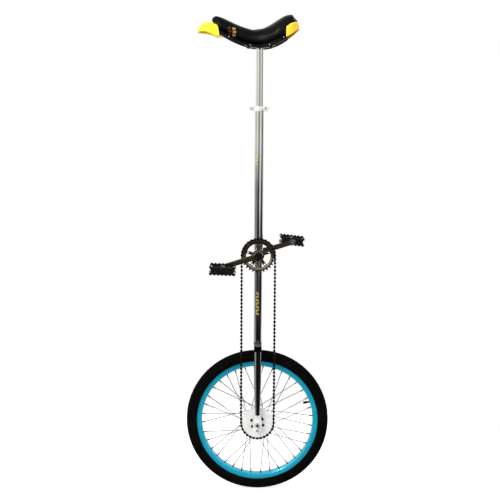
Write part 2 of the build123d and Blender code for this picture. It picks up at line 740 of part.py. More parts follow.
def pedal_spindle():
    """Pedal spindle on the near side at the crank eye, drawn at the origin."""
    thread = y_bar(0, 0, -CRANK_OUTER_Y, -CRANK_INNER_Y, PEDAL_THREAD_R)
    collar = y_bar(0, 0, -PEDAL_IN_Y + 2, -CRANK_OUTER_Y, 8.0)
    collar -= Pos(0, -PEDAL_IN_Y + 5, 9.3) * Box(20, 5, 4)
    collar -= Pos(0, -PEDAL_IN_Y + 5, -9.3) * Box(20, 5, 4)
    shaft = y_bar(0, 0, -PEDAL_IN_Y - PEDAL_WIDTH + 8, -PEDAL_IN_Y + 2, PEDAL_SPINDLE_R)
    return thread + collar + shaft


def pedal_body():
    """Barrel round the spindle with two cross arms that carry the cage."""
    y_in = -PEDAL_IN_Y - 4
    y_out = -PEDAL_IN_Y - PEDAL_WIDTH + 4
    barrel = y_bar(0, 0, y_out, y_in, 10.5)
    depth = 2 * (WAIST_X - REFLECTOR_T - PRESS_GAP)
    for y in (y_in - 12, y_out + 12):
        barrel += Pos(0, y, 0) * Box(depth, 12, 13)
    barrel += Pos(0, (y_in + y_out) / 2, 0) * Box(depth, 8, 13)
    return barrel - y_bar(0, 0, y_out - 1, y_in + 1, PEDAL_SPINDLE_R + PRESS_GAP)


def toothed_edge(length):
    """Side outline of a cage wall, drawn as (along, z), with teeth on its top and bottom edges."""
    half = PEDAL_T / 2
    count = round(length / TOOTH_PITCH)
    step = length / count
    top = []
    for i in range(count):
        start = -length / 2 + i * step
        top += [(start, half - TOOTH_H), (start + step * 0.3, half), (start + step * 0.7, half)]
    top.append((length / 2, half - TOOTH_H))
    bottom = [(x, -z) for x, z in reversed(top)]
    return make_face(Polyline(*top, *bottom, close=True))


def pedal_cage():
    """Toothed cage round the pedal: two rims joined by end walls, waisted at the front and rear."""
    y_mid = -PEDAL_IN_Y - PEDAL_WIDTH / 2
    ends = y_plate(toothed_edge(PEDAL_LENGTH), 100, -100)
    sides = extrude(Plane.YZ * toothed_edge(PEDAL_WIDTH), amount=100, both=True)
    block = extrude(RectangleRounded(PEDAL_LENGTH, PEDAL_WIDTH, 9), amount=PEDAL_T / 2, both=True)
    inside = extrude(RectangleRounded(PEDAL_LENGTH - 2 * CAGE_T, PEDAL_WIDTH - 2 * CAGE_T, 5),
                     amount=PEDAL_T, both=True)
    cage = (block & ends & sides) - inside
    edge = PEDAL_LENGTH / 2 + 1
    waist = make_face(Polyline((WAIST_X, 6), (edge, 9), (edge, -9), (WAIST_X, -6), close=True))
    for side in (waist, mirror(waist, Plane.YZ)):
        cage -= y_plate(side, PEDAL_WIDTH, -PEDAL_WIDTH)
    cage = Pos(0, y_mid, 0) * cage
    inner_hole = y_bar(0, 0, -PEDAL_IN_Y - 10, -PEDAL_IN_Y + 10, 9)
    outer_hole = y_bar(0, 0, y_mid - PEDAL_WIDTH / 2 - 10, y_mid - PEDAL_WIDTH / 2 + 10, 9)
    return cage - inner_hole - outer_hole


def pedal_reflectors():
    """Amber reflectors on the ends of the cross arms, set back between the rims."""
    y_mid = -PEDAL_IN_Y - PEDAL_WIDTH / 2
    x = WAIST_X - REFLECTOR_T / 2
    slab = Box(REFLECTOR_T, REFLECTOR_W, REFLECTOR_H)
    return [Pos(side * x, y_mid, 0) * slab for side in (-1, 1)]


def pedal_end_cap():
    y_out = -PEDAL_IN_Y - PEDAL_WIDTH + 4
    return turn([(0, y_out), (8.5, y_out), (8.5, y_out - 4.2), (6, y_out - 5.5), (0, y_out - 5.5)])


def place_pedal(shape, near):
    """Move a pedal piece drawn on the near side at the origin to its crank's eye."""
    degrees = CRANK_ANGLE if near else CRANK_ANGLE + 180
    x, z = polar(CRANK_LENGTH, degrees)
    if not near:
        shape = mirror(shape, Plane.XZ)
    shape = Rot(0, NEAR_PEDAL_TILT if near else FAR_PEDAL_TILT, 0) * shape
    return Pos(x, 0, CRANK_Z + z) * shape


# ---------- saddle ----------

def underside(x):
    """Height of the saddle's lower edge at x: a sag that rises towards both ends."""
    if x < 0:
        return SADDLE_LOW + RISE_FRONT * (-x / FRONT_RUN) ** 1.72
    return SADDLE_LOW + RISE_REAR * (x / REAR_RUN) ** 1.93


def slope(x):
    """Tilt of the lower edge at x, in degrees."""
    return math.degrees(math.atan2(underside(x + 1) - underside(x - 1), 2))


def band(x0, x1, low, high, half_width):
    """A curved plate that follows the underside, between two heights above it."""
    count = 8
    xs = [x0 + (x1 - x0) * i / count for i in range(count + 1)]
    bottom = Spline(*[(x, underside(x) + low) for x in xs])
    top = Spline(*[(x, underside(x) + high) for x in xs])
    sides = [Line(bottom @ 1, top @ 1), Line(bottom @ 0, top @ 0)]
    return y_plate(face_from(bottom, top, *sides), half_width, -half_width)


def plan_outline(inset=0.0):
    """Saddle outline from above: a nose, a waist and a broad rear, drawn inside by the inset."""
    half = [(SADDLE_FRONT_X - 20 + inset, 24), (-146, 41 - inset), (-110, 46 - inset),
            (-45, 45 - inset), (20, 58 - inset), (72, 76 - inset), (104, 69 - inset),
            (124 - inset, 36)]
    front = (SADDLE_FRONT_X - 26 + inset, 0)
    rear = (129 - inset, 0)
    mirrored = [(x, -y) for x, y in reversed(half)]
    return make_face(Spline(front, *half, rear, *mirrored, periodic=True))


def plan_block(inset=0.0):
    return extrude(Pos(0, 0, SADDLE_LOW - 60) * plan_outline(inset), amount=300)


def saddle_base():
    """Curved plastic base: a web with a skirt along both sides."""
    x0 = SADDLE_FRONT_X
    outer = band(x0, SADDLE_REAR_X, 0, WEB_HIGH, 100) & plan_block(4)
    hollow = band(x0 - 5, SADDLE_REAR_X + 5, -5, WEB_LOW, 100) & plan_block(8)
    base = outer - hollow
    for x, y in mount_bolt_places():
        base -= curve_rod(x, y, -5, 20, STUD_R + 0.2)
    return base


def mount_bolt_places():
    return [(x, y) for x in (-38, 38) for y in (-13, 13)]


def curve_rod(x, y, low, high, radius):
    """A bar square to the underside at x."""
    bar = rod((0, 0, low), (0, 0, high), radius)
    return Location((x, y, underside(x)), (0, -slope(x), 0)) * bar


def mount_plate():
    """Steel plate on top of the post, bent to the base's curve."""
    plate = band(-PLATE_HALF, PLATE_HALF, WEB_LOW - 3.3, WEB_LOW - 0.3, 21)
    for x, y in mount_bolt_places():
        plate -= curve_rod(x, y, -5, 20, STUD_R + 0.2)
    return plate


def mount_bolts():
    """Studs through the base and plate, each with a hexagon nut below."""
    bolts = []
    for x, y in mount_bolt_places():
        stud = curve_rod(x, y, -3, WEB_HIGH - 1.5, STUD_R)
        hexagon = Pos(0, 0, WEB_LOW - 9) * RegularPolygon(5, 6, major_radius=False)
        nut = Location((x, y, underside(x)), (0, -slope(x), 0)) * extrude(hexagon, amount=5)
        bolts.append(stud + nut)
    return bolts


def seat_post():
    """Straight tube from inside the frame to the mount plate."""
    post = z_tube(POST_BOTTOM, SADDLE_LOW + 20, POST_R, 2.0)
    return post - band(-PLATE_HALF, PLATE_HALF, WEB_LOW - 3.3, 60, 40)


def cushion():
    """Plain solid of the padded cover."""
    top = Spline((-161, 1622), (-148, 1633), (-120, 1626), (-67, 1601), (-18, 1590), (27, 1600),
                 (67, 1626), (92, 1637.5), (108.5, 1638))
    tail_curve = ThreePointArc((108.5, 1638), (114.5, 1625.5), (126.5, 1616.5))
    x0 = SADDLE_FRONT_X
    x1 = SADDLE_REAR_X
    lift = WEB_HIGH + 0.3
    low = Spline(*[(x, underside(x) + lift) for x in [x0 + (x1 - x0) * i / 8 for i in range(9)]])
    nose = Polyline(low @ 0, (x0, 1613), (-157, 1613), top @ 0)
    tail = Polyline(tail_curve @ 1, (124, 1611), (112, 1604), (103, 1590), low @ 1)
    face = face_from(low, nose, top, tail_curve, tail)
    return y_plate(face, 100, -100) & plan_block()


def rounded_end(x_end, x_open, half_width, corner):
    """Plan of a cap: a block open towards the saddle with rounded outer corners."""
    length = abs(x_end - x_open) * 2
    return Pos(x_open, 0) * RectangleRounded(length, 2 * half_width, corner)


def front_handle():
    """Hooded grip under the nose: an arched visor, open below and behind."""
    x_end = HANDLE_END_X
    outer = Spline((x_end, 1584), (-203, 1598), (-185, 1611), (-161, 1612.7), (-146, 1606))
    tail = [(-142, 1598), (-142, 1569), (-152, 1570), (-170, 1577), (x_end + 2, 1580)]
    profile = face_from(outer, Polyline(outer @ 1, *tail, outer @ 0))
    plan = extrude(Pos(0, 0, 1500) * rounded_end(x_end, -130, 49, 44), amount=200)
    hood = y_plate(profile, 60, -60) & plan
    inner = Spline((x_end + 5, 1570), (-200, 1599), (-184, 1608), (-161, 1608.7), (-136, 1600))
    inner_face = face_from(inner, Polyline(inner @ 1, (-136, 1560), inner @ 0))
    inner_plan = extrude(Pos(0, 0, 1500) * rounded_end(x_end + 4, -130, 45, 40), amount=200)
    hood -= y_plate(inner_face, 60, -60) & inner_plan
    return hood + handle_tongue()


def handle_tongue():
    """Floor of the handle: screws under the front of the base and joins the hood's two sides."""
    run = [-122, -130, SADDLE_FRONT_X]
    top = [(x, underside(x) - 0.4) for x in run]
    outline = top + [(-172, 1583), (-172, 1578), (-158, 1572.5), (-136, 1565), (-124, 1563)]
    return y_plate(make_face(Polyline(*outline, close=True)), 45.5, -45.5)


def rear_bumper():
    """Hooded guard round the tail, open below."""
    outline = Polyline((86, 1592), (94, 1599), (106, 1605.5), (127, 1612.5), (140, 1595), (134, 1590.5),
                       (112, 1574), (92, 1561), (86, 1567), close=True)
    block = y_plate(make_face(outline), 100, -100)
    return (block & plan_block(-4.5)) - plan_block(-0.5)


# ---------- build ----------

def build():
    os.makedirs("parts", exist_ok=True)
    save("main_tube_upper", upper_tube())
    save("main_tube_lower", lower_tube())
    save("fork_crown", fork_crown())
    save("bottom_bracket_shell", bracket_shell())
    for name, shape in zip(("near", "far"), both_sides(fork_leg())):
        save(f"fork_leg_{name}", shape)
    for name, shape in zip(("near", "far"), both_sides(dropout())):
        save(f"dropout_{name}", shape)
    for name, shape in zip(("near", "far"), both_sides(bracket_cup())):
        save(f"bracket_cup_{name}", shape)
    save("bracket_bearings", *bracket_bearings())
    save("seat_clamp_collar", clamp_collar())
    save("clamp_skewer", clamp_skewer())
    save("clamp_nut", clamp_nut())
    save("clamp_cam_pin", *cam_pin())
    save("quick_release_lever", lever())
    save("hub_axle", axle())
    save("axle_spacers", *axle_spacers())
    tug, screw_y = chain_tug()
    save("chain_tugs", *both_sides(tug))
    cap, nut = tug_cap(screw_y)
    save("tug_caps", *both_sides(cap))
    save("tug_nuts", *both_sides(nut))
    save("axle_washers", *both_sides(axle_washer()))
    save("axle_nuts", *both_sides(axle_nut()))

    save("tyre", tyre())
    save("inner_tube", inner_tube(), valve_stem())
    save("rim_tape", rim_tape())
    save("rim", rim())
    save("valve_cap", valve_cap())
    save("spokes_near", *spokes("near", NEAR_FLANGE_Y))
    save("spokes_far", *spokes("far", FAR_FLANGE_Y))
    save("spoke_nipples", *nipples())
    save("hub_shell", hub_shell())
    save("hub_bearings", *hub_bearings())
    save("wheel_sprocket", sprocket())
    save("sprocket_bolts", *sprocket_bolts())

    save("chain_inner_links", *chain_links(inner_link(), 0))
    save("chain_outer_links", *chain_links(outer_link(), 1))

    save("crank_spindle", spindle())
    save("chainring", chainring())
    save("crank_near", crank_near())
    save("crank_far", crank_far())
    save("crank_bolts", *both_sides(crank_bolt()))
    save("dust_caps", *both_sides(dust_cap()))
    for name, near in (("near", True), ("far", False)):
        save(f"pedal_spindle_{name}", place_pedal(pedal_spindle(), near))
        save(f"pedal_body_{name}", place_pedal(pedal_body(), near))
        save(f"pedal_cage_{name}", place_pedal(pedal_cage(), near))
        save(f"pedal_reflectors_{name}", *[place_pedal(slab, near) for slab in pedal_reflectors()])
        save(f"pedal_end_cap_{name}", place_pedal(pedal_end_cap(), near))

    save("seat_post", seat_post())
    save("saddle_mount_plate", mount_plate())
    save("saddle_mount_bolts", *mount_bolts())
    save("saddle_base", saddle_base())
    save("saddle_cushion", cushion())
    save("front_handle", front_handle())
    save("rear_bumper", rear_bumper())


build()
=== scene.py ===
import math

import bmesh
import bpy
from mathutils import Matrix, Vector
from mathutils import noise as soft_noise
from mathutils.bvhtree import BVHTree


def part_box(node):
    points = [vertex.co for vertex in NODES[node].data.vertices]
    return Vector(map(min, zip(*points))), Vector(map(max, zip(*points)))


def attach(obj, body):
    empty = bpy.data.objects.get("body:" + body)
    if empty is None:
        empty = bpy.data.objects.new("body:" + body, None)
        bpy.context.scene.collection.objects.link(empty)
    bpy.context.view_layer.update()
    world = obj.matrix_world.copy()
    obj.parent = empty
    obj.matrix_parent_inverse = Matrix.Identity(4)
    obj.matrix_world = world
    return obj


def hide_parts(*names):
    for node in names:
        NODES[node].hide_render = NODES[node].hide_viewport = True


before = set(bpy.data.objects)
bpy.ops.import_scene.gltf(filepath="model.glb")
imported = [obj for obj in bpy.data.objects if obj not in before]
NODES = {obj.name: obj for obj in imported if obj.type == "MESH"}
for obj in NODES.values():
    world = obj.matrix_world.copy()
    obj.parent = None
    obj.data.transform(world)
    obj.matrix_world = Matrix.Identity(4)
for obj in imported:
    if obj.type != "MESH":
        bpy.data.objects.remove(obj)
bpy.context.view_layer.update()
MM = 0.001


# ---------- places taken from the frame ----------

def middle(node):
    """The middle of a CAD node's box at rest."""
    low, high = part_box(node)
    return (low + high) / 2


WHEEL = middle("tyre")
TYRE_R = (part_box("tyre")[1].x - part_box("tyre")[0].x) / 2
TYRE_HALF = (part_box("tyre")[1].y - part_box("tyre")[0].y) / 2
RIM_R = (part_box("rim")[1].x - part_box("rim")[0].x) / 2
RIM_HALF = (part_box("rim")[1].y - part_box("rim")[0].y) / 2
UPPER_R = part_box("main_tube_upper")[1].x
LOWER_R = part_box("main_tube_lower")[1].x


# ---------- node helpers ----------

def material(name):
    """A new material with its shader: (material, tree, principled node)."""
    made = bpy.data.materials.new(name)
    made.use_nodes = True
    tree = made.node_tree
    return made, tree, tree.nodes["Principled BSDF"]


def add(tree, kind, inputs=None, **settings):
    """A node with its settings and inputs; an input may be a value or another node's output."""
    node = tree.nodes.new(kind)
    for name, value in settings.items():
        setattr(node, name, value)
    for name, value in (inputs or {}).items():
        if isinstance(value, bpy.types.NodeSocket):
            tree.links.new(value, node.inputs[name])
        else:
            node.inputs[name].default_value = value
    return node


def join(tree, bsdf, **inputs):
    """Set or link the shader's inputs, with underscores for spaces."""
    for name, value in inputs.items():
        socket = bsdf.inputs[name.replace("_", " ")]
        if isinstance(value, bpy.types.NodeSocket):
            tree.links.new(value, socket)
        else:
            socket.default_value = value


def place(tree):
    """Where a point is on the piece at rest, in metres."""
    return add(tree, "ShaderNodeTexCoord").outputs["Object"]


def stretched(tree, scale):
    """A point's place, scaled by axis, for patterns longer one way than the other."""
    return add(tree, "ShaderNodeMapping", {"Vector": place(tree), "Scale": scale}).outputs["Vector"]


def noise(tree, scale, detail=3.0, vector=None, distortion=0.0):
    """Soft noise from 0 to 1, at so many waves to the metre."""
    inputs = {"Vector": vector or place(tree), "Scale": scale, "Detail": detail, "Distortion": distortion}
    return add(tree, "ShaderNodeTexNoise", inputs).outputs["Fac"]


def spread(tree, value, low, high, out_low=0.0, out_high=1.0):
    """Map a value's range to another, clamped."""
    inputs = {"Value": value, "From Min": low, "From Max": high, "To Min": out_low, "To Max": out_high}
    return add(tree, "ShaderNodeMapRange", inputs).outputs["Result"]


def maths(tree, operation, a, b=0.0):
    """One sum on numbers or outputs."""
    node = add(tree, "ShaderNodeMath", operation=operation)
    for socket, value in zip(node.inputs, (a, b)):
        if isinstance(value, bpy.types.NodeSocket):
            tree.links.new(value, socket)
        else:
            socket.default_value = value
    return node.outputs[0]


def blend_colour(tree, factor, first, second):
    """Mix two colours, each a tuple or an output."""
    node = add(tree, "ShaderNodeMix", data_type="RGBA")
    for socket, value in zip((node.inputs[0], node.inputs[6], node.inputs[7]), (factor, first, second)):
        if isinstance(value, bpy.types.NodeSocket):
            tree.links.new(value, socket)
        else:
            socket.default_value = value if isinstance(value, float) else (*value[:3], 1.0)
    return node.outputs[2]


def bump(tree, height, distance, strength=1.0, normal=None):
    """A normal tilted by a height, on top of another normal where one is given."""
    node = add(tree, "ShaderNodeBump", {"Height": height, "Distance": distance, "Strength": strength})
    if normal:
        tree.links.new(normal, node.inputs["Normal"])
    return node.outputs["Normal"]


def ramp(tree, factor, stops):
    """A colour ramp from (position, brightness) stops."""
    node = add(tree, "ShaderNodeValToRGB", {"Fac": factor})
    elements = node.color_ramp.elements
    while len(elements) < len(stops):
        elements.new(0.5)
    for element, (position, level) in zip(elements, stops):
        element.position = position
        element.color = (level, level, level, 1.0)
    return node.outputs["Color"]


def around(tree, centre):
    """(distance, angle) of a point about the axle line through a centre."""
    split = add(tree, "ShaderNodeSeparateXYZ", {"Vector": place(tree)})
    x = maths(tree, "SUBTRACT", split.outputs["X"], centre.x)
    z = maths(tree, "SUBTRACT", split.outputs["Z"], centre.z)
    square = maths(tree, "ADD", maths(tree, "MULTIPLY", x, x), maths(tree, "MULTIPLY", z, z))
    return maths(tree, "SQRT", square), maths(tree, "ARCTAN2", z, x)


# ---------- materials ----------

def chrome(name, colour, roughness, streak=(1.0, 1.0, 0.05)):
    """Bright plate: faint polishing streaks, tiny pits and a few dull patches."""
    made, tree, bsdf = material(name)
    streaks = noise(tree, 900.0, 4.0, stretched(tree, streak))
    patches = noise(tree, 14.0, 5.0)
    pits = noise(tree, 2600.0, 2.0)
    dull = spread(tree, patches, 0.52, 0.75, roughness, roughness + 0.03)
    rough = maths(tree, "ADD", dull, spread(tree, streaks, 0.4, 0.75, 0.0, 0.02))
    tint = blend_colour(tree, spread(tree, patches, 0.35, 0.7), colour, tuple(c * 0.9 for c in colour))
    normal = bump(tree, pits, 0.00002, 0.35, bump(tree, streaks, 0.00003, 0.3))
    join(tree, bsdf, Base_Color=tint, Metallic=1.0, Roughness=rough, Normal=normal)
    return made


def plated(name, colour, roughness, grain=700.0, metallic=1.0):
    """Zinc plate or ground steel: a soft grain with cloudy spangle."""
    made, tree, bsdf = material(name)
    clouds = noise(tree, 60.0, 4.0)
    fine = noise(tree, grain, 3.0)
    cells = add(tree, "ShaderNodeTexVoronoi", {"Vector": place(tree), "Scale": 220.0}).outputs["Distance"]
    tint = blend_colour(tree, spread(tree, clouds, 0.35, 0.7), colour, tuple(c * 0.8 for c in colour))
    rough = maths(tree, "ADD", spread(tree, cells, 0.0, 0.8, roughness - 0.05, roughness + 0.06),
                  spread(tree, fine, 0.3, 0.7, -0.03, 0.05))
    join(tree, bsdf, Base_Color=tint, Metallic=metallic, Roughness=rough,
         Normal=bump(tree, fine, 0.00005, 0.4))
    return made


def turned_metal(name, colour, roughness, centre, metallic=1.0, pitch=0.0007):
    """Metal faced on a lathe: fine rings about the axle, with a soft cloud of handling marks."""
    made, tree, bsdf = material(name)
    distance = around(tree, centre)[0]
    rings = maths(tree, "SINE", maths(tree, "MULTIPLY", distance, 2 * math.pi / pitch))
    clouds = noise(tree, 45.0, 5.0)
    marks = noise(tree, 380.0, 3.0)
    tint = blend_colour(tree, spread(tree, clouds, 0.35, 0.75), colour, tuple(c * 0.84 for c in colour))
    rough = spread(tree, marks, 0.3, 0.75, roughness - 0.06, roughness + 0.08)
    normal = bump(tree, rings, 0.00003, 0.35, bump(tree, marks, 0.00004, 0.3))
    join(tree, bsdf, Base_Color=tint, Metallic=metallic, Roughness=rough, Normal=normal)
    return made


def rim_paint(name, colour):
    """Anodised blue: a metal glint under colour, brushed round the rim, darker in soft clouds."""
    made, tree, bsdf = material(name)
    distance, angle = around(tree, WHEEL)
    brush = add(tree, "ShaderNodeCombineXYZ", {"X": distance, "Y": maths(tree, "MULTIPLY", angle, 0.004)})
    lines = noise(tree, 2600.0, 4.0, brush.outputs["Vector"])
    clouds = noise(tree, 22.0, 4.0)
    deep = tuple(c * 0.78 for c in colour)
    tint = blend_colour(tree, spread(tree, clouds, 0.3, 0.75), colour, deep)
    scuffs = spread(tree, noise(tree, 160.0, 6.0, distortion=0.6), 0.66, 0.74)
    tint = blend_colour(tree, scuffs, tint, tuple(min(1.0, c * 1.25 + 0.02) for c in colour))
    rough = maths(tree, "ADD", spread(tree, lines, 0.35, 0.7, 0.26, 0.38),
                  maths(tree, "MULTIPLY", scuffs, 0.1))
    join(tree, bsdf, Base_Color=tint, Metallic=0.2, Roughness=rough, Coat_Weight=0.15,
         Coat_Roughness=0.12, Normal=bump(tree, lines, 0.00003, 0.35))
    return made


def rubber(name, colour, dust=0.35):
    """Tyre rubber: fine moulded skin, with dust in patches."""
    made, tree, bsdf = material(name)
    skin = noise(tree, 1500.0, 4.0)
    patches = noise(tree, 30.0, 6.0)
    distance, angle = around(tree, WHEEL)
    ribs = maths(tree, "SINE", maths(tree, "MULTIPLY", angle, 620.0))
    sidewall = spread(tree, distance, TYRE_R - 0.016, TYRE_R - 0.011, 1.0, 0.0)
    dusty = maths(tree, "MULTIPLY", spread(tree, patches, 0.45, 0.8), dust)
    tint = blend_colour(tree, dusty, colour, (0.022, 0.019, 0.017))
    height = maths(tree, "ADD", skin, maths(tree, "MULTIPLY", maths(tree, "MULTIPLY", ribs, sidewall), 0.35))
    rough = spread(tree, patches, 0.3, 0.7, 0.62, 0.85)
    join(tree, bsdf, Base_Color=tint, Roughness=rough, Specular_IOR_Level=0.03,
         Normal=bump(tree, height, 0.00018, 0.55))
    return made


def moulded(name, colour, roughness, grain=900.0, wear=None, specular=0.5, depth=0.00012):
    """Moulded or powder-coated skin: fine grain, cloudy gloss and light rubbing."""
    made, tree, bsdf = material(name)
    fine = noise(tree, grain, 3.0)
    clouds = noise(tree, 35.0, 5.0)
    rub = spread(tree, noise(tree, 240.0, 6.0, distortion=0.4), 0.62, 0.72)
    tint = blend_colour(tree, spread(tree, clouds, 0.35, 0.7), colour, tuple(c * 0.8 for c in colour))
    rubbed = wear or tuple(c * 1.3 + 0.01 for c in colour)
    tint = blend_colour(tree, maths(tree, "MULTIPLY", rub, 0.5), tint, rubbed)
    rough = maths(tree, "ADD", spread(tree, clouds, 0.3, 0.7, roughness - 0.05, roughness + 0.07),
                  maths(tree, "MULTIPLY", rub, 0.12))
    join(tree, bsdf, Base_Color=tint, Roughness=rough, Specular_IOR_Level=specular,
         Normal=bump(tree, fine, depth, 0.5))
    return made


def chain_steel(name):
    """Blackened chain plates, rubbed back to steel in patches and wet with oil."""
    made, tree, bsdf = material(name)
    rub = spread(tree, noise(tree, 420.0, 5.0), 0.55, 0.72)
    oil = spread(tree, noise(tree, 130.0, 3.0), 0.45, 0.65)
    tint = blend_colour(tree, maths(tree, "MULTIPLY", rub, 0.35), (0.012, 0.011, 0.010), (0.16, 0.14, 0.12))
    join(tree, bsdf, Base_Color=tint, Metallic=0.85, Roughness=spread(tree, oil, 0.0, 1.0, 0.48, 0.26),
         Normal=bump(tree, noise(tree, 1400.0), 0.00005, 0.4))
    return made


def vinyl(name):
    """Glossy black saddle cover: leather grain and soft folds in the gloss."""
    made, tree, bsdf = material(name)
    grain = add(tree, "ShaderNodeTexVoronoi", {"Vector": place(tree), "Scale": 1100.0, "Randomness": 1.0},
                feature="SMOOTH_F1").outputs["Distance"]
    creases = add(tree, "ShaderNodeTexVoronoi", {"Vector": place(tree), "Scale": 420.0},
                  feature="DISTANCE_TO_EDGE").outputs["Distance"]
    clouds = noise(tree, 18.0, 4.0)
    tint = blend_colour(tree, spread(tree, clouds, 0.35, 0.7), (0.0014, 0.0012, 0.0011),
                        (0.0028, 0.0023, 0.0021))
    rough = spread(tree, clouds, 0.3, 0.7, 0.3, 0.4)
    normal = bump(tree, spread(tree, creases, 0.0, 0.12), 0.00006, 0.35, bump(tree, grain, 0.00012, 0.35))
    join(tree, bsdf, Base_Color=tint, Roughness=rough, Specular_IOR_Level=0.12, Normal=normal)
    return made


def bumper_plastic(name, colour, deep):
    """Yellow moulded guard: soft satin skin, warmer where it is thick, with a few scuffs."""
    made, tree, bsdf = material(name)
    clouds = noise(tree, 16.0, 3.0)
    tint = blend_colour(tree, spread(tree, clouds, 0.35, 0.7), colour, deep)
    scuffs = spread(tree, noise(tree, 190.0, 6.0, distortion=0.8), 0.68, 0.75)
    tint = blend_colour(tree, maths(tree, "MULTIPLY", scuffs, 0.35), tint, tuple(c * 0.6 for c in colour))
    rough = maths(tree, "ADD", spread(tree, clouds, 0.3, 0.7, 0.33, 0.42),
                  maths(tree, "MULTIPLY", scuffs, 0.15))
    join(tree, bsdf, Base_Color=tint, Roughness=rough, Subsurface_Weight=0.15, Subsurface_Scale=0.003,
         Subsurface_Radius=(1.0, 0.7, 0.1), Normal=bump(tree, noise(tree, 1300.0), 0.00008, 0.4))
    return made


def reflector(name):
    """Amber reflector: a clear skin over a moulded prism pattern."""
    made, tree, bsdf = material(name)
    prism_rate = 2 * math.pi / 0.0026
    split = add(tree, "ShaderNodeSeparateXYZ", {"Vector": place(tree)})
    across = maths(tree, "SINE", maths(tree, "MULTIPLY", split.outputs["Y"], prism_rate))
    up = maths(tree, "SINE", maths(tree, "MULTIPLY", split.outputs["Z"], prism_rate))
    prisms = maths(tree, "MULTIPLY", across, up)
    tint = blend_colour(tree, spread(tree, prisms, -0.6, 0.6), (0.75, 0.16, 0.012), (0.95, 0.34, 0.03))
    join(tree, bsdf, Base_Color=tint, Roughness=0.14, Coat_Weight=0.8, Coat_Roughness=0.05,
         Subsurface_Weight=0.2, Subsurface_Scale=0.002, Normal=bump(tree, prisms, 0.0004, 0.6))
    return made


def foil(name, colour, ground, patch=700.0):
    """Printed foil: worn gold over a darker ground."""
    made, tree, bsdf = material(name)
    worn = spread(tree, noise(tree, patch, 5.0), 0.5, 0.68)
    tint = blend_colour(tree, worn, colour, ground)
    join(tree, bsdf, Base_Color=tint, Metallic=0.35, Roughness=spread(tree, worn, 0.0, 1.0, 0.32, 0.5),
         Normal=bump(tree, noise(tree, 1600.0), 0.00003, 0.3))
    return made


FOIL_GOLD = foil("label_gold", (0.60, 0.50, 0.10), (0.16, 0.13, 0.08))
FOIL_PALE = foil("label_pale", (0.62, 0.52, 0.13), (0.34, 0.29, 0.16))
BADGE_GOLD = foil("badge_gold", (0.40, 0.20, 0.06), (0.06, 0.03, 0.012), 330.0)
BADGE_BROWN = foil("badge_brown", (0.055, 0.022, 0.009), (0.012, 0.007, 0.005), 330.0)
RIVET_STEEL = plated("rivet_steel", (0.62, 0.61, 0.58), 0.3, 1200.0)

# Painted shade: near-black steel for the fork crown and its weld, so the join between tube and leg reads
# dark.
CROWN_PAINTED_SHADE = plated("crown_painted_shade", (0.006, 0.0055, 0.0045), 0.36, 900.0, 0.95)

FINISHES = {
    "frame_chrome": chrome("frame_chrome_look", (0.80, 0.79, 0.76), 0.03),
    "zinc_steel": turned_metal("zinc_steel_look", (0.88, 0.885, 0.865), 0.42, WHEEL, 0.2),
    "dark_steel": plated("dark_steel_look", (0.045, 0.043, 0.041), 0.42, 700.0, 0.6),
    "bearing_steel": plated("bearing_steel_look", (0.66, 0.655, 0.63), 0.24, 1100.0),
    "polished_alloy": plated("polished_alloy_look", (0.80, 0.80, 0.775), 0.3, 900.0, 0.4),
    "dark_chrome": plated("dark_chrome_look", (0.25, 0.215, 0.155), 0.16, 900.0, 0.95),
    "chain_black": chain_steel("chain_black_look"),
    "tyre_black": rubber("tyre_black_look", (0.0020, 0.0017, 0.0015), 0.12),
    "tube_rubber": rubber("tube_rubber_look", (0.012, 0.012, 0.012), 0.6),
    "rim_blue": rim_paint("rim_blue_look", (0.002, 0.38, 0.55)),
    "spoke_steel": plated("spoke_steel_look", (0.035, 0.034, 0.033), 0.34, 1500.0, 0.6),
    "nipple_black": plated("nipple_black_look", (0.03, 0.03, 0.03), 0.35),
    "hub_alloy": turned_metal("hub_alloy_look", (0.80, 0.80, 0.78), 0.3, WHEEL, 0.4),
    "black_plastic": moulded("black_plastic_look", (0.005, 0.0046, 0.0043), 0.38, specular=0.12),
    "cage_black": moulded("cage_black_look", (0.005, 0.0046, 0.0042), 0.3, 600.0, (0.10, 0.09, 0.08), 0.3),
    "reflector_amber": reflector("reflector_amber_look"),
    "saddle_shell_black": moulded("saddle_shell_look", (0.005, 0.0047, 0.0045), 0.7, 1000.0, specular=0.1),
    "saddle_vinyl": vinyl("saddle_vinyl_look"),
    "bumper_yellow": bumper_plastic("bumper_yellow_look", (0.98, 0.84, 0.02), (0.96, 0.74, 0.012)),
    "guard_orange": bumper_plastic("tail_guard_look", (0.98, 0.63, 0.03), (0.95, 0.50, 0.015)),
}


def finish_cad_nodes():
    """Give every CAD node the look of its slot; the crown gets near-black steel as painted shade."""
    for node in NODES.values():
        for place_in_list, slot in enumerate(node.data.materials):
            name = slot.name.split(".")[0]
            if name in FINISHES:
                node.data.materials[place_in_list] = FINISHES[name]
    NODES["fork_crown"].data.materials[0] = CROWN_PAINTED_SHADE


# ---------- mesh helpers ----------

def mesh_piece(name, points, faces, look, body, smooth=True):
    """A new piece from its points and faces, riding on a body."""
    mesh = bpy.data.meshes.new(name)
    mesh.from_pydata([tuple(p) for p in points], [], faces)
    mesh.update()
    mesh.materials.append(look)
    for polygon in mesh.polygons:
        polygon.use_smooth = smooth
    piece = bpy.data.objects.new(name, mesh)
    bpy.context.scene.collection.objects.link(piece)
    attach(piece, body)
    return piece


def outward(piece):
    """Turn every face of a closed piece outwards."""
    made = bmesh.new()
    made.from_mesh(piece.data)
    bmesh.ops.recalc_face_normals(made, faces=made.faces)
    made.to_mesh(piece.data)
    made.free()


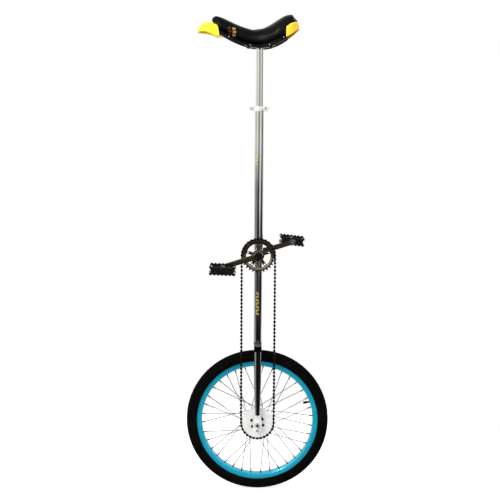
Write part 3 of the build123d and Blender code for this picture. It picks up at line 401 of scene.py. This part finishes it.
def loop_faces(rows, columns, close_rows=False, close_columns=True):
    """Quads over a grid of points, numbered row by row."""
    faces = []
    for i in range(rows if close_rows else rows - 1):
        for j in range(columns if close_columns else columns - 1):
            a = i * columns + j
            b = i * columns + (j + 1) % columns
            c = ((i + 1) % rows) * columns + (j + 1) % columns
            d = ((i + 1) % rows) * columns + j
            faces.append((a, b, c, d))
    return faces


def smooth_curve(points):
    """A function through (position, value) points, rounded between them."""
    xs = [p[0] for p in points]
    ys = [p[1] for p in points]
    count = len(xs)
    slopes = []
    for i in range(count):
        before = max(i - 1, 0)
        after = min(i + 1, count - 1)
        slopes.append((ys[after] - ys[before]) / (xs[after] - xs[before]))

    def value(x):
        """The curve's height at x, held level past its ends."""
        x = min(max(x, xs[0]), xs[-1])
        i = max(k for k in range(count - 1) if xs[k] <= x)
        span = xs[i + 1] - xs[i]
        t = (x - xs[i]) / span
        return ((1 + 2 * t) * (1 - t) ** 2 * ys[i] + t * (1 - t) ** 2 * span * slopes[i]
                + t * t * (3 - 2 * t) * ys[i + 1] + t * t * (t - 1) * span * slopes[i + 1])

    return value


def tube_along(points, radius, sides=10):
    """Points and faces of a closed round welt along a path."""
    ring_points = []
    count = len(points)
    for i, point in enumerate(points):
        ahead = points[min(i + 1, count - 1)] - points[max(i - 1, 0)]
        turn = ahead.to_track_quat("Z", "Y").to_matrix()
        thin = radius * (0.45 if i in (0, count - 1) else 1.0)
        for k in range(sides):
            angle = 2 * math.pi * k / sides
            ring_points.append(point + turn @ Vector((math.cos(angle) * thin, math.sin(angle) * thin, 0)))
    faces = loop_faces(count, sides)
    faces.append(tuple(range(sides))[::-1])
    faces.append(tuple(range((count - 1) * sides, count * sides)))
    return ring_points, faces


def surface_of(piece):
    """A search tree over a piece's faces, in the row frame."""
    mesh = piece.data
    corners = [vertex.co.copy() for vertex in mesh.vertices]
    return BVHTree.FromPolygons(corners, [tuple(face.vertices) for face in mesh.polygons])


# ---------- tyre ----------

PITCHES = 76
TREAD_SKEW = 0.55
TYRE_WALL = 4.0 * MM
COLUMN_STARTS = (0.0, 0.025, 0.135, 0.16, 0.5, 0.525, 0.635, 0.66)
GROOVE = 1.7 * MM
SECTION = ((0, "a"), (8.0, "a"), (9.2, "-"), (12.2, "-"), (13.4, "b"), (21, "b"), (29, "b"), (30.2, "-"),
           (33.2, "-"), (34.4, "a"), (44, "a"), (55, "a"), (57, "-"), (61, "-"), (66, "s"), (76, "s"),
           (80, "s"), (81, "r"), (84, "r"), (85, "s"), (94, "s"), (104, "s"), (114.5, "s"))


def tread_depth(kind, column):
    """How far below the full tyre section a point lies."""
    if kind == "-":
        return GROOVE
    if kind == "s":
        return 0.6 * MM
    if kind == "r":
        return 0.0
    cut = (1, 2) if kind == "a" else (5, 6)
    return GROOVE if column % len(COLUMN_STARTS) in cut else 0.0


def tyre_section():
    """One side to the other over the tread: (angle from the crown, kind)."""
    far = [(-angle, kind) for angle, kind in reversed(SECTION) if angle > 0]
    return far + list(SECTION)


def tyre():
    """The whole tyre with its moulded tread, bead and inner wall."""
    section = tyre_section()
    centre_r = TYRE_R - TYRE_HALF
    bead = [(RIM_R + 0.4 * MM, RIM_HALF - 0.4 * MM), (RIM_R + 0.4 * MM, RIM_HALF - 3.5 * MM),
            (RIM_R - 6 * MM, RIM_HALF - 3.5 * MM), (RIM_R - 6 * MM, RIM_HALF - 6 * MM)]
    inner = []
    for step in range(9):
        angle = math.radians(105 - step * 210 / 8)
        reach = TYRE_HALF - TYRE_WALL
        inner.append((centre_r + reach * math.cos(angle), reach * math.sin(angle)))
    tail = bead + inner + [(radius, -y) for radius, y in reversed(bead)]
    points = []
    for pitch in range(PITCHES):
        for column, start in enumerate(COLUMN_STARTS):
            for degrees, kind in section:
                skew = TREAD_SKEW * abs(degrees) / 60 if abs(degrees) < 62 else TREAD_SKEW
                turn = 2 * math.pi * (pitch + start + skew) / PITCHES
                reach = TYRE_HALF - tread_depth(kind, column)
                radius = centre_r + reach * math.cos(math.radians(degrees))
                y = reach * math.sin(math.radians(degrees))
                points.append(WHEEL + Vector((radius * math.cos(turn), y, radius * math.sin(turn))))
            turn = 2 * math.pi * (pitch + start + TREAD_SKEW) / PITCHES
            for radius, y in tail:
                points.append(WHEEL + Vector((radius * math.cos(turn), y, radius * math.sin(turn))))
    columns = len(section) + len(tail)
    faces = loop_faces(PITCHES * len(COLUMN_STARTS), columns, close_rows=True)
    piece = mesh_piece("tyre_tread", points, faces, FINISHES["tyre_black"], "wheel")
    outward(piece)
    piece.modifiers.new("edges", "EDGE_SPLIT").split_angle = math.radians(38)
    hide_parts("tyre")


# ---------- saddle ----------

CAD_CUSHION = surface_of(NODES["saddle_cushion"])
CUSHION_LOW, CUSHION_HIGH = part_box("saddle_cushion")


def hit(tree, start, direction):
    """The first point of a surface on a line, or None."""
    return tree.ray_cast(Vector(start), Vector(direction))[0]


def cushion_station(x):
    """(lowest, highest, half width) of the CAD cushion at x."""
    top = hit(CAD_CUSHION, (x, 0.0, 2.0), (0, 0, -1)).z
    bottom = hit(CAD_CUSHION, (x, 0.0, 1.0), (0, 0, 1)).z
    side = hit(CAD_CUSHION, (x, -1.0, (top + bottom) / 2), (0, 1, 0))
    return bottom, top, abs(side.y)


NOSE_X = -140 * MM
NOSE_DROOP = 7 * MM
VOXEL = 4.5 * MM
MOST_SWELL = 3.0 * MM
PRESSURE = 4
RUN_FRAMES = 20
HELD_BAND = 14 * MM
WAIST = 0.36
CROWN_POWER = 2.35
LOWER_POWER = 4.5
TUCK = 0.05


def cushion_section(x, bottom, top, half):
    """One closed ring of the cushion: crowned above its widest line, boxy below it."""
    ring = []
    waist = bottom + WAIST * (top - bottom)
    count = 40
    for k in range(count):
        angle = 2 * math.pi * k / count
        cosine = math.cos(angle)
        sine = math.sin(angle)
        power = 2 / CROWN_POWER if sine > 0 else 2 / LOWER_POWER
        reach = (top - waist) if sine > 0 else (waist - bottom)
        y = half * math.copysign(abs(cosine) ** power, cosine)
        tuck = 1 - TUCK * max(0.0, -sine) ** 2
        point = Vector((x, y * tuck, waist + math.copysign(abs(sine) ** power, sine) * reach))
        if sine < 0:
            droop = min(1.0, max(0.0, (NOSE_X - x) / (3 * MM)))
            point.z -= NOSE_DROOP * droop * abs(y / half) ** 3
        ripple = soft_noise.noise(point * 38.0) + 0.4 * soft_noise.noise(point * 95.0)
        give = 0.5 * MM * ripple - 1.6 * MM
        push = Vector((0.0, point.y, max(0.0, point.z - waist)))
        ring.append(point + push.normalized() * give if push.length > 1e-6 else point)
    return ring


def as_shaped(piece):
    """The piece's mesh with its modifiers applied."""
    graph = bpy.context.evaluated_depsgraph_get()
    made = bpy.data.meshes.new_from_object(piece.evaluated_get(graph))
    for polygon in made.polygons:
        polygon.use_smooth = True
    return made


def stuff(piece):
    """Fill the cover by a short cloth run, held along its lower edge, with the swelling capped."""
    even = piece.modifiers.new("even", "REMESH")
    even.mode = "VOXEL"
    even.voxel_size = VOXEL
    piece.data = as_shaped(piece)
    piece.modifiers.clear()
    start = [vertex.co.copy() for vertex in piece.data.vertices]
    held = piece.vertex_groups.new(name="held")
    held.add([i for i, co in enumerate(start) if co.z < EDGE_LINE(co.x) + HELD_BAND], 1.0, "REPLACE")
    cloth = piece.modifiers.new("cloth", "CLOTH")
    cloth.settings.quality = 6
    cloth.settings.mass = 0.3
    cloth.settings.tension_stiffness = 30
    cloth.settings.compression_stiffness = 30
    cloth.settings.bending_stiffness = 2
    cloth.settings.use_pressure = True
    cloth.settings.uniform_pressure_force = PRESSURE
    cloth.settings.effector_weights.gravity = 0
    cloth.settings.vertex_group_mass = "held"
    cloth.point_cache.frame_start = 1
    cloth.point_cache.frame_end = RUN_FRAMES
    for frame_number in range(1, RUN_FRAMES + 1):
        bpy.context.scene.frame_set(frame_number)
    settled = as_shaped(piece)
    piece.modifiers.clear()
    bpy.context.scene.frame_set(1)
    for vertex, before, after in zip(piece.data.vertices, start, settled.vertices):
        move = after.co - before
        if move.length > MOST_SWELL:
            move *= MOST_SWELL / move.length
        vertex.co = before + move
    bpy.data.meshes.remove(settled)
    smooth = piece.modifiers.new("smooth", "SUBSURF")
    smooth.levels = 1
    smooth.render_levels = 1


def cushion():
    """Crowned cover, lofted inside the CAD cushion's outline."""
    gap = 0.8 * MM
    length = CUSHION_HIGH.x - CUSHION_LOW.x
    count = 72
    rings = []
    for i in range(count):
        along = 0.5 - 0.5 * math.cos(math.pi * (i + 0.5) / count)
        x = CUSHION_LOW.x + gap + (length - 2 * gap) * along
        bottom, top, half = cushion_station(x)
        rings.append(cushion_section(x, bottom + 0.2 * MM, top, half))
    points = [p for ring in rings for p in ring]
    columns = len(rings[0])
    faces = loop_faces(count, columns)
    faces.append(tuple(range(columns))[::-1])
    faces.append(tuple(range((count - 1) * columns, count * columns)))
    piece = mesh_piece("saddle_cover", points, faces, FINISHES["saddle_vinyl"], "saddle")
    outward(piece)
    stuff(piece)
    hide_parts("saddle_cushion")


# ---------- saddle trim ----------

BASE_LOW, BASE_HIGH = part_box("saddle_base")


def trace_edge():
    """The lower edge of the base, read from the CAD base along its length."""
    tree = surface_of(NODES["saddle_base"])
    found = []
    count = 24
    insets = (4.6 * MM, 5.6 * MM, 6.6 * MM)
    for i in range(count + 1):
        x = BASE_LOW.x + 1.5 * MM + (BASE_HIGH.x - BASE_LOW.x - 3 * MM) * i / count
        half = cushion_station(x)[2]
        points = [hit(tree, (x, inset - half, 1.4), (0, 0, 1)) for inset in insets]
        heights = [point.z for point in points if point]
        if heights:
            found.append((x, min(heights)))
    return smooth_curve(found)


def cover_reach(x, z):
    """Half width of the cover at a place on its side."""
    bottom, top, half = cushion_station(x)
    waist = bottom + WAIST * (top - bottom)
    if z <= waist:
        down = min(1.0, (waist - z) / (waist - bottom))
        if down >= 0.93:
            return half * 0.93
        return half * (1 - down ** LOWER_POWER) ** (1 / LOWER_POWER) * (1 - TUCK * down ** 2)
    up = min(0.999, (z - waist) / (top - waist))
    return half * (1 - up ** CROWN_POWER) ** (1 / CROWN_POWER)


def skin_thickness(piece, thickness, edge):
    """Turn an open skin into a wall of even thickness with rounded edges."""
    wall = piece.modifiers.new("wall", "SOLIDIFY")
    wall.thickness = thickness
    wall.offset = -1.0
    rounding = piece.modifiers.new("rounding", "BEVEL")
    rounding.width = edge
    rounding.segments = 2
    rounding.limit_method = "ANGLE"
    rounding.angle_limit = math.radians(50)


SEAM = smooth_curve([(-150 * MM, 7.4 * MM), (-60 * MM, 6.8 * MM), (-14 * MM, 6.4 * MM), (9 * MM, 8 * MM),
                     (34.6 * MM, 11.5 * MM), (57.6 * MM, 15 * MM), (73 * MM, 21 * MM), (80.7 * MM, 27 * MM),
                     (97 * MM, 38 * MM)])


def panel_point(x, along, side, lift):
    """A place on a side panel: along runs from the lower edge to the seam."""
    low = EDGE_LINE(x) + 0.6 * MM
    high = EDGE_LINE(x) + SEAM(x)
    z = low + (high - low) * along
    station = cushion_station(x)
    bottom = station[0]
    half = station[2]
    if z > bottom + 4 * MM:
        reach = cover_reach(x, z)
    else:
        reach = max(cover_reach(x, max(z, bottom + 1 * MM)), half * 0.95)
    tuck = 2.2 * MM * max(0.0, 1 - along / 0.25) ** 2
    return Vector((x, side * (reach + lift - tuck), z))


def side_panel(name, side):
    """Moulded panel along one side, from the lower edge up to the seam."""
    x0 = BASE_LOW.x + 3 * MM
    x1 = BASE_HIGH.x - 1 * MM
    columns = 66
    rows = 12
    points = []
    for i in range(columns + 1):
        x = x0 + (x1 - x0) * i / columns
        points += [panel_point(x, j / rows, side, 1.6 * MM) for j in range(rows + 1)]
    faces = loop_faces(columns + 1, rows + 1, close_columns=False)
    if side < 0:
        faces = [face[::-1] for face in faces]
    piece = mesh_piece(name, points, faces, FINISHES["saddle_shell_black"], "saddle")
    skin_thickness(piece, 1.5 * MM, 0.5 * MM)


def seam_piping(name, side):
    """Thin welt along the seam between the cover and the side panel."""
    x0 = BASE_LOW.x + 4 * MM
    x1 = BASE_HIGH.x - 2 * MM
    path = [panel_point(x0 + (x1 - x0) * i / 90, 1.0, side, 1.1 * MM) for i in range(91)]
    points, faces = tube_along(path, 1.1 * MM)
    piece = mesh_piece(name, points, faces, FINISHES["saddle_vinyl"], "saddle")
    outward(piece)


def dome(name, centre, outwards, radius, height, look, body, rings=6, sides=24):
    """A domed head standing on a surface."""
    facing = outwards.to_track_quat("Z", "Y").to_matrix()
    points = [centre + facing @ Vector((0, 0, height))]
    for ring in range(1, rings + 1):
        angle = math.pi / 2 * ring / rings
        for k in range(sides):
            turn = 2 * math.pi * k / sides
            flat = Vector((math.cos(turn), math.sin(turn), 0)) * radius * math.sin(angle)
            points.append(centre + facing @ (flat + Vector((0, 0, height * math.cos(angle)))))
    for k in range(sides):
        turn = 2 * math.pi * k / sides
        points.append(centre + facing @ Vector((math.cos(turn) * radius, math.sin(turn) * radius, -height)))
    faces = [(0, 1 + k, 1 + (k + 1) % sides) for k in range(sides)]
    for ring in range(rings):
        first = 1 + ring * sides
        faces += [(first + k, first + sides + k, first + sides + (k + 1) % sides, first + (k + 1) % sides)
                  for k in range(sides)]
    faces.append(tuple(range(1 + rings * sides, 1 + (rings + 1) * sides))[::-1])
    piece = mesh_piece(name, points, faces, look, body)
    outward(piece)


# Along the saddle in millimetres, and how far up the panel.
RIVETS = ((-102, 0.5), (-31, 0.5), (32.4, 0.3), (78.6, 0.26))


def rivets():
    """Domed rivets through the side panels."""
    for side, side_name in ((-1, "near"), (1, "far")):
        for number, (x_mm, along) in enumerate(RIVETS):
            x = x_mm * MM
            spot = panel_point(x, along, side, 1.5 * MM)
            dome(f"saddle_rivet_{side_name}_{number}", spot, Vector((0, side, -0.12)), 2.6 * MM, 1.5 * MM,
                 RIVET_STEEL, "saddle")


def badge():
    """A worn badge of small foil tiles near the nose, with no lettering."""
    wide = 10.5
    tall = 8.0
    tiles = []
    for column, left in enumerate((-106, -91)):
        for row in range(3):
            tiles.append((column, left + (1.5 if row % 2 else 0), 1563.5 + 11 * row - (2 if column else 0)))
    for side, side_name in ((-1, "near"), (1, "far")):
        for number, (column, left, low) in enumerate(tiles):
            points = []
            count = 7
            for i in range(count):
                for j in range(count):
                    x = (left + wide * i / (count - 1)) * MM
                    z = (low + tall * j / (count - 1)) * MM
                    points.append(Vector((x, side * (cover_reach(x, z) + 0.7 * MM), z)))
            faces = loop_faces(count, count, close_columns=False)
            if side < 0:
                faces = [face[::-1] for face in faces]
            look = BADGE_GOLD if column else BADGE_BROWN
            piece = mesh_piece(f"badge_{side_name}_{number}", points, faces, look,
                               "saddle")
            skin_thickness(piece, 0.6 * MM, 0.2 * MM)


# ---------- grab handle and tail guard ----------

def path_through(points):
    """A smooth line through (x, z) points in millimetres, as a function of 0 to 1."""
    last = len(points) - 1
    xs = smooth_curve([(i / last, p[0] * MM) for i, p in enumerate(points)])
    zs = smooth_curve([(i / last, p[1] * MM) for i, p in enumerate(points)])
    return lambda t: (xs(t), zs(t))


HOOD_TOP = path_through([(-141, 1605), (-150, 1608), (-160, 1610.8), (-170, 1612.2), (-180, 1612.2),
                         (-188, 1609.8), (-195.5, 1603.6), (-203, 1594), (-208.6, 1581.5)])
HOOD_RIM = path_through([(-134, 1567), (-143, 1566.5), (-152, 1570), (-161, 1574.5), (-170, 1577.2),
                         (-180, 1578.6), (-189, 1579.2), (-199, 1579.4), (-208.6, 1579.6)])


HOOD_HALF = 48.5 * MM
HOOD_PLAN_POWER = 3.2
HOOD_ARCH_POWER = 2.9


def hood_half(t):
    """Half width of the grab handle's hood from its open end, 0, to its tip, 1."""
    return HOOD_HALF * (1 - max(0.0, t) ** HOOD_PLAN_POWER) ** (1 / HOOD_PLAN_POWER)


def front_hood():
    """Arched visor of the grab handle, open below and behind."""
    stations = 40
    around_count = 56
    points = []
    for i in range(stations + 1):
        t = math.sin(math.pi / 2 * i / stations) * 0.9985
        top_x, top_z = HOOD_TOP(t)
        rim_x, rim_z = HOOD_RIM(t)
        half = hood_half(t)
        for k in range(around_count + 1):
            angle = math.pi * k / around_count
            cosine = math.cos(angle)
            rise = abs(math.sin(angle)) ** (2 / HOOD_ARCH_POWER)
            y = -half * math.copysign(abs(cosine) ** (2 / HOOD_ARCH_POWER), cosine)
            points.append(Vector((rim_x + (top_x - rim_x) * rise, y, rim_z + (top_z - rim_z) * rise)))
    faces = loop_faces(stations + 1, around_count + 1, close_columns=False)
    piece = mesh_piece("grab_handle_hood", points, faces, FINISHES["bumper_yellow"],
                       "saddle")
    if max(piece.data.vertices, key=lambda v: v.co.z).normal.z < 0:
        piece.data.flip_normals()
    skin_thickness(piece, 3.4 * MM, 1.0 * MM)
    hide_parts("front_handle")


def front_tongue():
    """Floor of the grab handle, from under the nose to the hood's sides."""
    line = path_through([(-122.5, 1568.4), (-130, 1569.8), (-140, 1571.6), (-150, 1574), (-160, 1577),
                         (-168, 1579.4), (-174, 1580.6)])
    widths = smooth_curve([(0, 20), (0.2, 27), (0.5, 40), (0.75, 44.5), (1, 45)])
    stations = 26
    across = 30
    points = []
    for i in range(stations + 1):
        t = i / stations
        x, z = line(t)
        half = widths(t) * MM
        for k in range(across + 1):
            share = -1 + 2 * k / across
            notch = 14 * MM * max(0.0, 1 - (share / 0.62) ** 2) * t ** 2
            points.append(Vector((x + notch, half * share, z - 1.2 * MM * share ** 2)))
    faces = loop_faces(stations + 1, across + 1, close_columns=False)
    piece = mesh_piece("grab_handle_floor", points, faces, FINISHES["bumper_yellow"],
                       "saddle")
    if sum(p.normal.z for p in piece.data.polygons) < 0:
        piece.data.flip_normals()
    skin_thickness(piece, 3.6 * MM, 1.2 * MM)


TAIL_CENTRE_X = 86.5 * MM
TAIL_LEVELS = [(1565 + 1.8 * step) * MM for step in range(26)]


def tail_path(count):
    """The tail's plan from near side to far side, from the CAD guard: (centre, [(direction, reach)])."""
    tree = surface_of(NODES["rear_bumper"])
    centre = Vector((TAIL_CENTRE_X, 0, 0))
    found = []
    for k in range(count + 1):
        angle = -math.pi / 2 + math.pi * k / count
        direction = Vector((math.cos(angle), math.sin(angle), 0))
        reach = 0.0
        for level in TAIL_LEVELS:
            start = Vector((centre.x, 0, level)) + direction * 0.3
            point = tree.ray_cast(start, -direction)[0]
            if point:
                reach = max(reach, (Vector((point.x, point.y, 0)) - centre).length)
        found.append((direction, reach))
    return centre, found


def rear_guard():
    """Shell round the tail: leans out towards its lower edge and curls in at the top."""
    count = 72
    centre, found = tail_path(count)
    rows = 14
    top_line = smooth_curve([(80 * MM, 1588 * MM), (87 * MM, 1593 * MM), (96 * MM, 1600 * MM),
                             (106 * MM, 1605.5 * MM), (118 * MM, 1610 * MM), (128 * MM, 1613 * MM),
                             (140 * MM, 1613 * MM)])
    low_line = smooth_curve([(80 * MM, 1556 * MM), (92 * MM, 1561.5 * MM), (112 * MM, 1574.5 * MM),
                             (134 * MM, 1590.5 * MM), (145 * MM, 1594 * MM)])
    points = []
    for direction, reach in found:
        for j in range(rows + 1):
            down = j / rows
            curl = 3.4 * MM * max(0.0, 1 - down / 0.18) ** 2
            lean = 4.5 * MM * (1 - down) * max(0.0, direction.x)
            out = centre + direction * (reach - 0.2 * MM - lean - curl)
            top = top_line(out.x)
            low = low_line(out.x)
            points.append(Vector((out.x, out.y, top + (low - top) * down)))
    faces = loop_faces(count + 1, rows + 1, close_columns=False)
    piece = mesh_piece("tail_guard", points, faces, FINISHES["guard_orange"], "saddle")
    middle_face = max(piece.data.polygons, key=lambda p: p.center.x)
    if middle_face.normal.x < 0:
        piece.data.flip_normals()
    skin_thickness(piece, 2.6 * MM, 0.8 * MM)
    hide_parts("rear_bumper")


# ---------- marks and welds on the frame ----------

def wrapped(radius, degrees, z):
    """A point on the frame tube, with degrees measured from the near side towards +X."""
    angle = math.radians(degrees)
    return Vector((radius * math.sin(angle), -radius * math.cos(angle), z))


def tube_mark(name, radius, low, high, left, right, lean, look):
    """One slanted stroke of foil on the tube."""
    columns = 10
    rows = 6
    points = []
    for i in range(columns + 1):
        for j in range(rows + 1):
            u = i / columns
            v = j / rows
            z = low + (high - low) * v + lean * (u - 0.5)
            points.append(wrapped(radius + 0.12 * MM, left + (right - left) * u, z))
    faces = loop_faces(columns + 1, rows + 1, close_columns=False)
    piece = mesh_piece(name, points, faces, look, "frame")
    skin_thickness(piece, 0.1 * MM, 0.02 * MM)


# Name, tube radius, strokes, lowest stroke, pitch, height, left and right edge in degrees, lean, foil.
MARK_ROWS = (("upper_mark", UPPER_R, 6, 1139, 6.4, 3.6, -62, -18, 2.4, FOIL_PALE),
             ("lower_mark", LOWER_R, 7, 623, 11.8, 7.4, -32, 8, 4.2, FOIL_GOLD))


def tube_marks():
    """Two rows of plain slanted strokes in worn gold foil, one on each tube."""
    for name, radius, strokes, lowest, pitch, height, left, right, lean, foil_look in MARK_ROWS:
        for number in range(strokes):
            low = (lowest + pitch * number) * MM
            slant = lean * MM if number % 2 else -lean * MM
            tube_mark(f"{name}_{number}", radius, low, low + height * MM, left, right, slant,
                      foil_look)


def weld(name, centre, radius, bead):
    """A rippled weld bead round a tube."""
    around_count = 180
    sides = 10
    points = []
    for i in range(around_count):
        turn = 2 * math.pi * i / around_count
        size = bead * (1 + 0.12 * math.sin(turn * 42) + 0.06 * math.sin(turn * 13 + 1))
        for k in range(sides):
            angle = 2 * math.pi * k / sides
            reach = radius - 0.2 * bead + size * math.cos(angle)
            offset = Vector((reach * math.cos(turn), reach * math.sin(turn), size * math.sin(angle)))
            points.append(centre + offset)
    faces = loop_faces(around_count, sides, close_rows=True)
    # The weld wears the crown's near-black painted shade.
    piece = mesh_piece(name, points, faces, CROWN_PAINTED_SHADE, "frame")
    outward(piece)


def welds():
    """The bead where the lower tube stands on the crown."""
    crown_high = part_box("fork_crown")[1]
    weld("weld_crown_tube", Vector((0, 0, crown_high.z + 0.2 * MM)), LOWER_R, 1.2 * MM)


# ---------- lights, floor, camera ----------

# Bands of the room from top to bottom: elevation, then brightness by bearing. Bearing 0 is behind the
# camera, and positive bearings are on the camera's right.
ROOM = (
    (17.0, ((-180, 1.0), (180, 1.0))),
    (4.0, ((-180, 1.0), (-95, 1.0), (-75, 0.75), (-60, 0.72), (-45, 0.95), (-25, 1.0), (-12, 0.55),
           (3, 0.35), (20, 0.5), (34, 0.6), (50, 0.78), (72, 0.85), (88, 0.6), (98, 0.13), (118, 0.1),
           (126, 1.0), (180, 1.0))),
    (0.0, ((-180, 1.0), (-112, 1.0), (-88, 0.6), (-75, 0.45), (-60, 0.75), (-47, 1.0), (-33, 0.95),
           (-21, 0.6), (-8, 0.2), (4, 0.14), (14, 0.5), (29, 0.95), (45, 0.85), (58, 0.7), (70, 0.35),
           (85, 0.08), (106, 0.08), (118, 0.9), (180, 1.0))),
    (-3.7, ((-180, 0.95), (-112, 0.9), (-98, 0.4), (-75, 0.12), (-60, 0.25), (-47, 0.35), (-33, 0.15),
            (-21, 0.03), (6, 0.04), (15, 0.35), (24, 0.95), (34, 0.9), (48, 0.4), (58, 0.28), (68, 0.04),
            (85, 0.01), (106, 0.01), (116, 0.8), (180, 0.95))),
    (-5.8, ((-180, 0.9), (-112, 0.8), (-98, 0.3), (-75, 0.2), (-60, 0.27), (-47, 0.27), (-33, 0.05),
            (-21, 0.004), (7, 0.012), (15, 0.15), (24, 0.6), (36, 0.45), (48, 0.1), (58, 0.07), (70, 0.006),
            (106, 0.006), (116, 0.8), (180, 0.9))),
    (-9.4, ((-180, 0.9), (-123, 0.75), (-100, 0.25), (-80, 0.16), (-60, 0.15), (-48, 0.14), (-30, 0.04),
            (-19, 0.02), (5, 0.03), (12, 0.09), (24, 0.08), (36, 0.05), (50, 0.015), (66, 0.003),
            (98, 0.003), (110, 0.4), (120, 0.9), (180, 0.9))),
    (-12.2, ((-180, 0.85), (-123, 0.45), (-100, 0.4), (-80, 0.4), (-62, 0.15), (-48, 0.06), (-30, 0.003),
             (-19, 0.002), (0, 0.006), (20, 0.01), (36, 0.012), (66, 0.004), (88, 0.006), (100, 0.5),
             (112, 0.9), (180, 0.85))),
)


def world_light():
    """Soft white room. Polished metal sees it as a bright wall behind, a window and dark cloths in front."""
    world = bpy.data.worlds.new("studio")
    bpy.context.scene.world = world
    world.use_nodes = True
    tree = world.node_tree
    tree.nodes.clear()
    direction = add(tree, "ShaderNodeTexCoord").outputs["Generated"]
    split = add(tree, "ShaderNodeSeparateXYZ", {"Vector": direction})
    back = maths(tree, "MULTIPLY", split.outputs["Y"], -1.0)
    turn = maths(tree, "ARCTAN2", split.outputs["X"], back)
    turn = spread(tree, turn, -math.pi, math.pi)
    lift = maths(tree, "MULTIPLY", maths(tree, "ARCSINE", split.outputs["Z"]), 180 / math.pi)

    def at(degrees):
        """A bearing's place along a band, from 0 to 1."""
        return 0.5 + degrees / 360

    levels = [level for level, band in ROOM]
    walls = [ramp(tree, turn, [(at(angle), bright) for angle, bright in band]) for level, band in ROOM]
    room = walls[0]
    for upper, lower, wall in zip(levels, levels[1:], walls[1:]):
        centre = (upper + lower) / 2
        half = (upper - lower) * 0.32
        room = blend_colour(tree, spread(tree, lift, centre - half, centre + half), wall, room)
    room = blend_colour(tree, spread(tree, lift, 24.0, 50.0), room, (0.42, 0.42, 0.42))
    path = add(tree, "ShaderNodeLightPath")
    soft = blend_colour(tree, path.outputs["Is Glossy Ray"], (0.60, 0.60, 0.61), room)
    seen = blend_colour(tree, path.outputs["Is Camera Ray"], soft, (1.0, 1.0, 1.0))
    ground = add(tree, "ShaderNodeBackground", {"Color": seen, "Strength": 1.0})
    output = add(tree, "ShaderNodeOutputWorld")
    tree.links.new(ground.outputs[0], output.inputs[0])


def area_light(name, spot, target, size, energy, glossy=True):
    """A soft box aimed at a point; size is width and height in metres, energy in watts."""
    light = bpy.data.lights.new(name, "AREA")
    light.shape = "RECTANGLE"
    light.size, light.size_y = size
    light.energy = energy
    lamp = bpy.data.objects.new(name, light)
    lamp.location = spot
    lamp.rotation_euler = (Vector(target) - Vector(spot)).to_track_quat("-Z", "Y").to_euler()
    lamp.visible_glossy = glossy
    bpy.context.scene.collection.objects.link(lamp)


def lights():
    """Soft boxes from above and both sides; only the saddle's own shows in gloss."""
    area_light("top_softbox", (-0.6, -0.9, 3.4), (0, 0, 0.8), (2.2, 1.6), 85, glossy=False)
    area_light("left_softbox", (-2.6, -2.0, 1.6), (0, 0, 0.9), (1.2, 2.2), 28, glossy=False)
    area_light("saddle_softbox", (-1.28, -1.64, 2.2), (0.04, 0, 1.57), (0.45, 0.45), 16)
    area_light("right_softbox", (2.6, -1.4, 1.4), (0, 0, 0.9), (1.0, 2.0), 16, glossy=False)


def floor():
    """A round sheet of pale paper under the wheel."""
    radius = 1.0
    level = -0.4 * MM
    count = 96
    points = [Vector((0, 0, level))]
    for ring in (0.25, 0.5, 0.75, 1.0):
        for k in range(count):
            angle = 2 * math.pi * k / count
            reach = radius * ring
            points.append(Vector((reach * math.cos(angle), reach * math.sin(angle), level)))
    faces = [(0, 1 + k, 1 + (k + 1) % count) for k in range(count)]
    for ring in range(3):
        first = 1 + ring * count
        for k in range(count):
            after = (k + 1) % count
            faces.append((first + k, first + count + k, first + count + after, first + after))
    mesh = bpy.data.meshes.new("floor")
    mesh.from_pydata([tuple(p) for p in points], [], faces)
    paper, tree, bsdf = material("paper")
    fibres = noise(tree, 220.0, 4.0)
    tint = blend_colour(tree, fibres, (0.42, 0.42, 0.42), (0.46, 0.46, 0.46))
    join(tree, bsdf, Base_Color=tint, Roughness=0.9, Specular_IOR_Level=0.1,
         Emission_Color=(1.0, 1.0, 1.0, 1.0), Emission_Strength=0.8, Normal=bump(tree, fibres, 0.0002, 0.2))
    mesh.materials.append(paper)
    sheet = bpy.data.objects.new("floor", mesh)
    sheet.visible_glossy = False
    bpy.context.scene.collection.objects.link(sheet)


EYE = (-0.0309, -3.2219, 1.2331)
LOOK_DOWN = 6.84
EYE_ROLL = -0.32


def camera():
    """Straight on, a little above the middle, looking slightly down."""
    data = bpy.data.cameras.new("camera")
    data.lens = 67.9
    data.sensor_width = 36.0
    eye = bpy.data.objects.new("camera", data)
    eye.location = EYE
    eye.rotation_euler = (math.radians(90 - LOOK_DOWN), math.radians(EYE_ROLL), 0.0)
    bpy.context.scene.collection.objects.link(eye)
    bpy.context.scene.camera = eye


bpy.context.scene.view_settings.view_transform = "Standard"
world_light()
lights()
floor()
camera()
finish_cad_nodes()
tyre()
EDGE_LINE = trace_edge()
cushion()
for side, side_name in ((-1, "near"), (1, "far")):
    side_panel(f"saddle_panel_{side_name}", side)
    seam_piping(f"saddle_piping_{side_name}", side)
rivets()
badge()
front_hood()
front_tongue()
rear_guard()
tube_marks()
welds()
